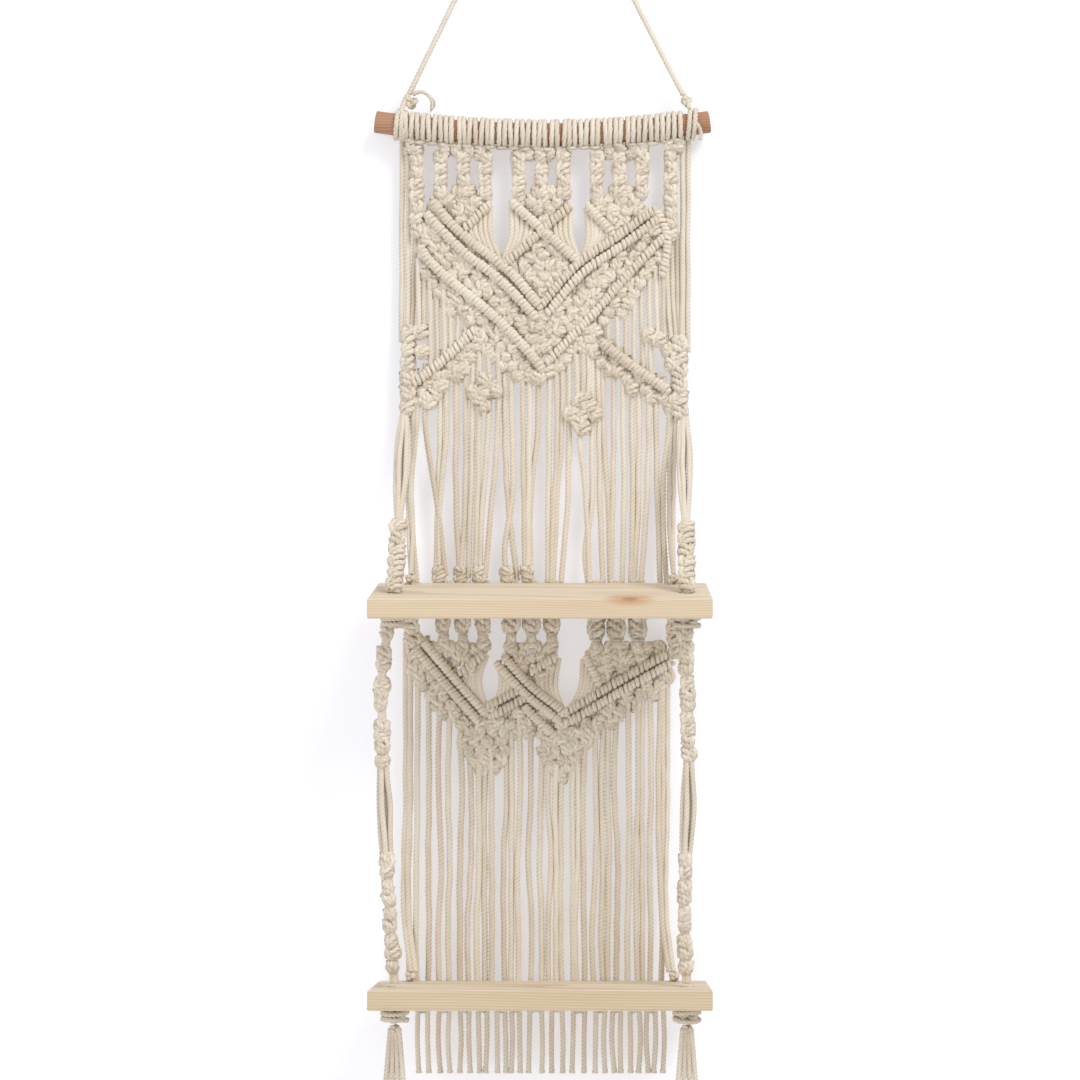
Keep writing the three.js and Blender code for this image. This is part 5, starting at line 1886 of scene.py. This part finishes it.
@dataclass
class Fringe:
    """The loose tails under the lower board, rear and front."""

    rear_shares: Values = (
        -0.76, -0.701, -0.631, -0.568, -0.504, -0.449, -0.393, -0.339, -0.278, -0.231, -0.19,
        -0.141, -0.077, -0.007, 0.058, 0.119, 0.189, 0.259, 0.327, 0.382, 0.43, 0.479, 0.534,
        0.589, 0.638, 0.687, 0.736,
    )
    half_board: float = 0.15
    rear_top: float = -1.0688
    rear_middle: float = -1.1
    rear_sway: float = 0.0015
    band_half: Place = (0.0052, 0.0034, 0.0032)
    end: float = -1.129
    diameter: float = 0.0052
    tail_rings: int = 44
    flare: float = 0.28
    flare_from: float = 0.88
    front_knot: Place = (0.129, -0.08368, -1.07207)
    front_half: Place = (0.0052, 0.0045, 0.0045)
    front_pitch: float = 0.005
    front_spread: float = 1.15
    front_tails: int = 4

    def build(self, cotton: Material) -> None:
        """Makes the band of knots, the rear tails and the two groups of front tails.

        Args:
            cotton: Their finish.
        """
        rng = np.random.default_rng(97)
        band = CordWork("rear_fringe_band", rng)
        x = np.array(self.rear_shares) * self.half_board
        middles = (x[1:] + x[:-1]) / 2
        centres = np.stack(
            [middles, np.zeros_like(middles), np.full_like(middles, self.rear_top)], axis=1
        )
        band.square_knots(centres[::2], self.band_half, radius=0.0019)
        dressed(band.build(cotton), "panel", "rear_fringe")
        for k, place in enumerate(x, start=1):
            sway = rng.uniform(-self.rear_sway, self.rear_sway, 2)
            line = np.array([
                (place, 0.0, self.rear_top), (place + sway[0], 0.0, self.rear_middle),
                (place + sway[1], 0.0, self.end),
            ])
            self._tail(f"rear_tail_{k:02d}", line, "panel", cotton)
        knot_x, y, z = self.front_knot
        for side, sign in SIDES:
            knot = CordWork("front_tail_knot_" + side, rng)
            knot.wound_knot((sign * knot_x, y, z), self.front_half, 0.0018)
            dressed(knot.build(cotton), "front_fringe", "front_fringe_" + side)
            for k in range(self.front_tails):
                offset = (k - (self.front_tails - 1) / 2) * self.front_pitch
                top = np.array([sign * knot_x + offset / 2, y, z])
                low = np.array([sign * knot_x + self.front_spread * offset, y, self.end])
                line = np.array([top, (top + low) / 2, low])
                self._tail(f"front_tail_{side}_{k + 1}", line, "front_fringe", cotton)

    def _tail(self, name: str, line: Array, body: str, cotton: Material) -> None:
        """Makes one loose tail, a free cord with a cut end that opens a little.

        Args:
            name: The piece's name.
            line: Its points, from the top down.
            body: The body that it rides on.
            cotton: Its finish.
        """
        path = curve(line, self.tail_rings)
        t = np.linspace(0, 1, self.tail_rings)
        work = CordWork(name)
        flare = 1 + self.flare * np.clip((t - self.flare_from) / (1 - self.flare_from), 0, 1) ** 2
        work.lay(path, self.diameter / 2 * flare, phase=line[0][0] * 900)
        piece = dressed(work.build(cotton), body)


@dataclass
class Studio:
    """The floor, the wall behind that takes the soft shadow, the lamps and the camera."""

    camera_place: Place = (0.0435, -2.31, -0.641)
    lens: float = 84.07
    shift: float = -0.0463
    floor_z: float = -1.33
    wall_y: float = 0.017
    ambient: float = 0.62
    key_power: float = 46.0
    fill_share: float = 0.18
    aim: Place = (0.0, 0.0, -0.6)

    def build(self) -> None:
        """Makes the whole studio."""
        self._camera()
        self._world()
        self._lamps()
        self._floor()
        self._wall()
        LOG.info("studio is ready")

    def _camera(self) -> None:
        """Makes the level camera at the photograph's angle."""
        data = bpy.data.cameras.new("camera")
        data.lens = self.lens
        data.shift_x = self.shift
        camera = placed("camera", data)
        camera.location = self.camera_place
        camera.rotation_euler = (np.pi / 2, 0.0, 0.0)
        bpy.context.scene.camera = camera

    def _world(self) -> None:
        """Makes an even soft world that looks white to the camera, in gloss and through glass."""
        world = bpy.data.worlds.new("soft_room")
        world.use_nodes = True
        bpy.context.scene.world = world
        nodes = NodeTree(world.node_tree)
        world.node_tree.nodes.clear()
        light, white = (
            nodes.add("ShaderNodeBackground", {"Color": colour, "Strength": strength}).outputs[0]
            for colour, strength in ((linear(252, 252, 255), self.ambient), ((1, 1, 1, 1), 1.0))
        )
        both = nodes.add("ShaderNodeMixShader", {0: nodes.seen(), 1: light, 2: white})
        nodes.add("ShaderNodeOutputWorld", {0: both.outputs[0]})

    def _lamps(self) -> None:
        """Makes a big soft key from the upper right front and a weak fill from the left."""
        for name, place, size, power in (
            ("key", (1.35, -1.65, 1.5), 1.5, self.key_power),
            ("fill", (-1.6, -1.4, -0.4), 1.6, self.key_power * self.fill_share),
        ):
            data = bpy.data.lights.new(name, "AREA")
            data.shape = "DISK"
            data.size = size
            data.energy = power
            lamp = placed(name, data)
            lamp.location = place
            way = Vector(self.aim) - Vector(place)
            lamp.rotation_euler = way.to_track_quat("-Z", "Y").to_euler()

    def _sheet(self, name: str, corners: tuple, material: Material) -> None:
        """Makes one flat stage piece from four corners.

        Args:
            name: Its name.
            corners: Its corners, in order round it.
            material: Its finish.
        """
        mesh = bpy.data.meshes.new(name)
        mesh.from_pydata(list(corners), [], [(0, 1, 2, 3)])
        piece = placed(name, mesh)
        mesh.materials.append(material)

    def _floor(self) -> None:
        """Makes the plain pale floor."""
        made = bpy.data.materials.new("pale_floor")
        made.use_nodes = True
        shader = made.node_tree.nodes["Principled BSDF"]
        shader.inputs["Base Color"].default_value = linear(250, 250, 250)
        shader.inputs["Roughness"].default_value = 0.9
        z = self.floor_z
        self._sheet("floor", ((-3, -3, z), (3, -3, z), (3, 3, z), (-3, 3, z)), made)

    def _wall(self) -> None:
        """Makes the wall: seen from its front by the camera, in gloss and through glass, it keeps
        the soft shadow, and it adds no light to the object and hides nothing from behind."""
        made = bpy.data.materials.new("pale_wall")
        made.use_nodes = True
        nodes = NodeTree(made.node_tree)
        made.node_tree.nodes.clear()
        geometry = nodes.add("ShaderNodeNewGeometry")
        front = nodes.math("SUBTRACT", 1.0, geometry.outputs["Backfacing"])
        seen = nodes.math("MULTIPLY", nodes.seen(), front)
        clear = nodes.add("ShaderNodeBsdfTransparent")
        paint = nodes.add("ShaderNodeBsdfDiffuse", {"Color": linear(232, 232, 235)})
        glow = nodes.add("ShaderNodeEmission", {"Color": linear(250, 250, 255), "Strength": 0.3})
        lit = nodes.add("ShaderNodeAddShader", {0: paint.outputs[0], 1: glow.outputs[0]})
        both = nodes.add("ShaderNodeMixShader", {0: seen, 1: clear.outputs[0], 2: lit.outputs[0]})
        nodes.add("ShaderNodeOutputMaterial", {0: both.outputs[0]})
        y, z = self.wall_y, self.floor_z
        self._sheet("wall", ((-1.6, y, z), (1.6, y, z), (1.6, y, 0.9), (-1.6, y, 0.9)), made)


UPPER_WOOD = Wood(
    name="upper_pine", light=(225, 206, 177), dark=(203, 178, 144), rings=430.0, warp=4.6,
    roughness=0.62, tilt=0.096, centre=(0.0, -0.063, -0.6948), knot=(0.078, -0.058, 0.0085),
    # The paler face colour is painted light on the upper board's broad faces.
    painted_light_face=(228, 215, 192),
)
LOWER_WOOD = Wood(
    name="lower_pine", light=(216, 197, 167), dark=(190, 164, 129), rings=400.0, warp=5.0,
    roughness=0.62, tilt=-0.105, centre=(0.0, -0.063, -1.0468), lean=0.012,
    # The paler face colour is painted light on the lower board's broad faces.
    painted_light_face=(233, 219, 196),
)
DOWEL_WOOD = Wood(
    name="dowel_wood", light=(190, 147, 118), dark=(140, 94, 70), rings=420.0, warp=5.0,
    roughness=0.7, centre=(0.0, 0.0, -0.266),
)


def main() -> None:
    """Builds the studio and every sub-assembly, in order from the top down."""
    logging.basicConfig(level=logging.INFO, format="%(name)s: %(message)s")
    bpy.context.scene.view_settings.view_transform = "Standard"
    Studio().build()
    surface, grain = cord_surface_group(), wood_grain_group()
    cotton = Cotton().material(surface)
    hanger, dowel = Hanger(), Dowel()
    hanger.cord(cotton)
    hanger.end_knots(cotton, dowel)
    dowel.build(DOWEL_WOOD.material(grain))
    LarksHeads().build(cotton, dowel)
    UpperColumns().build(cotton)
    UpperKnotwork().build(cotton)
    UpperStrands().build(cotton)
    UpperSideRopes().build(cotton)
    for board in (Board("upper", UPPER_WOOD, seed=65), Board("lower", LOWER_WOOD, seed=64)):
        board.build(grain, cotton)
    LowerSideRopes().build(cotton)
    LowerKnotwork().build(cotton)
    Fringe().build(cotton)


if __name__ == "__main__":
    main()
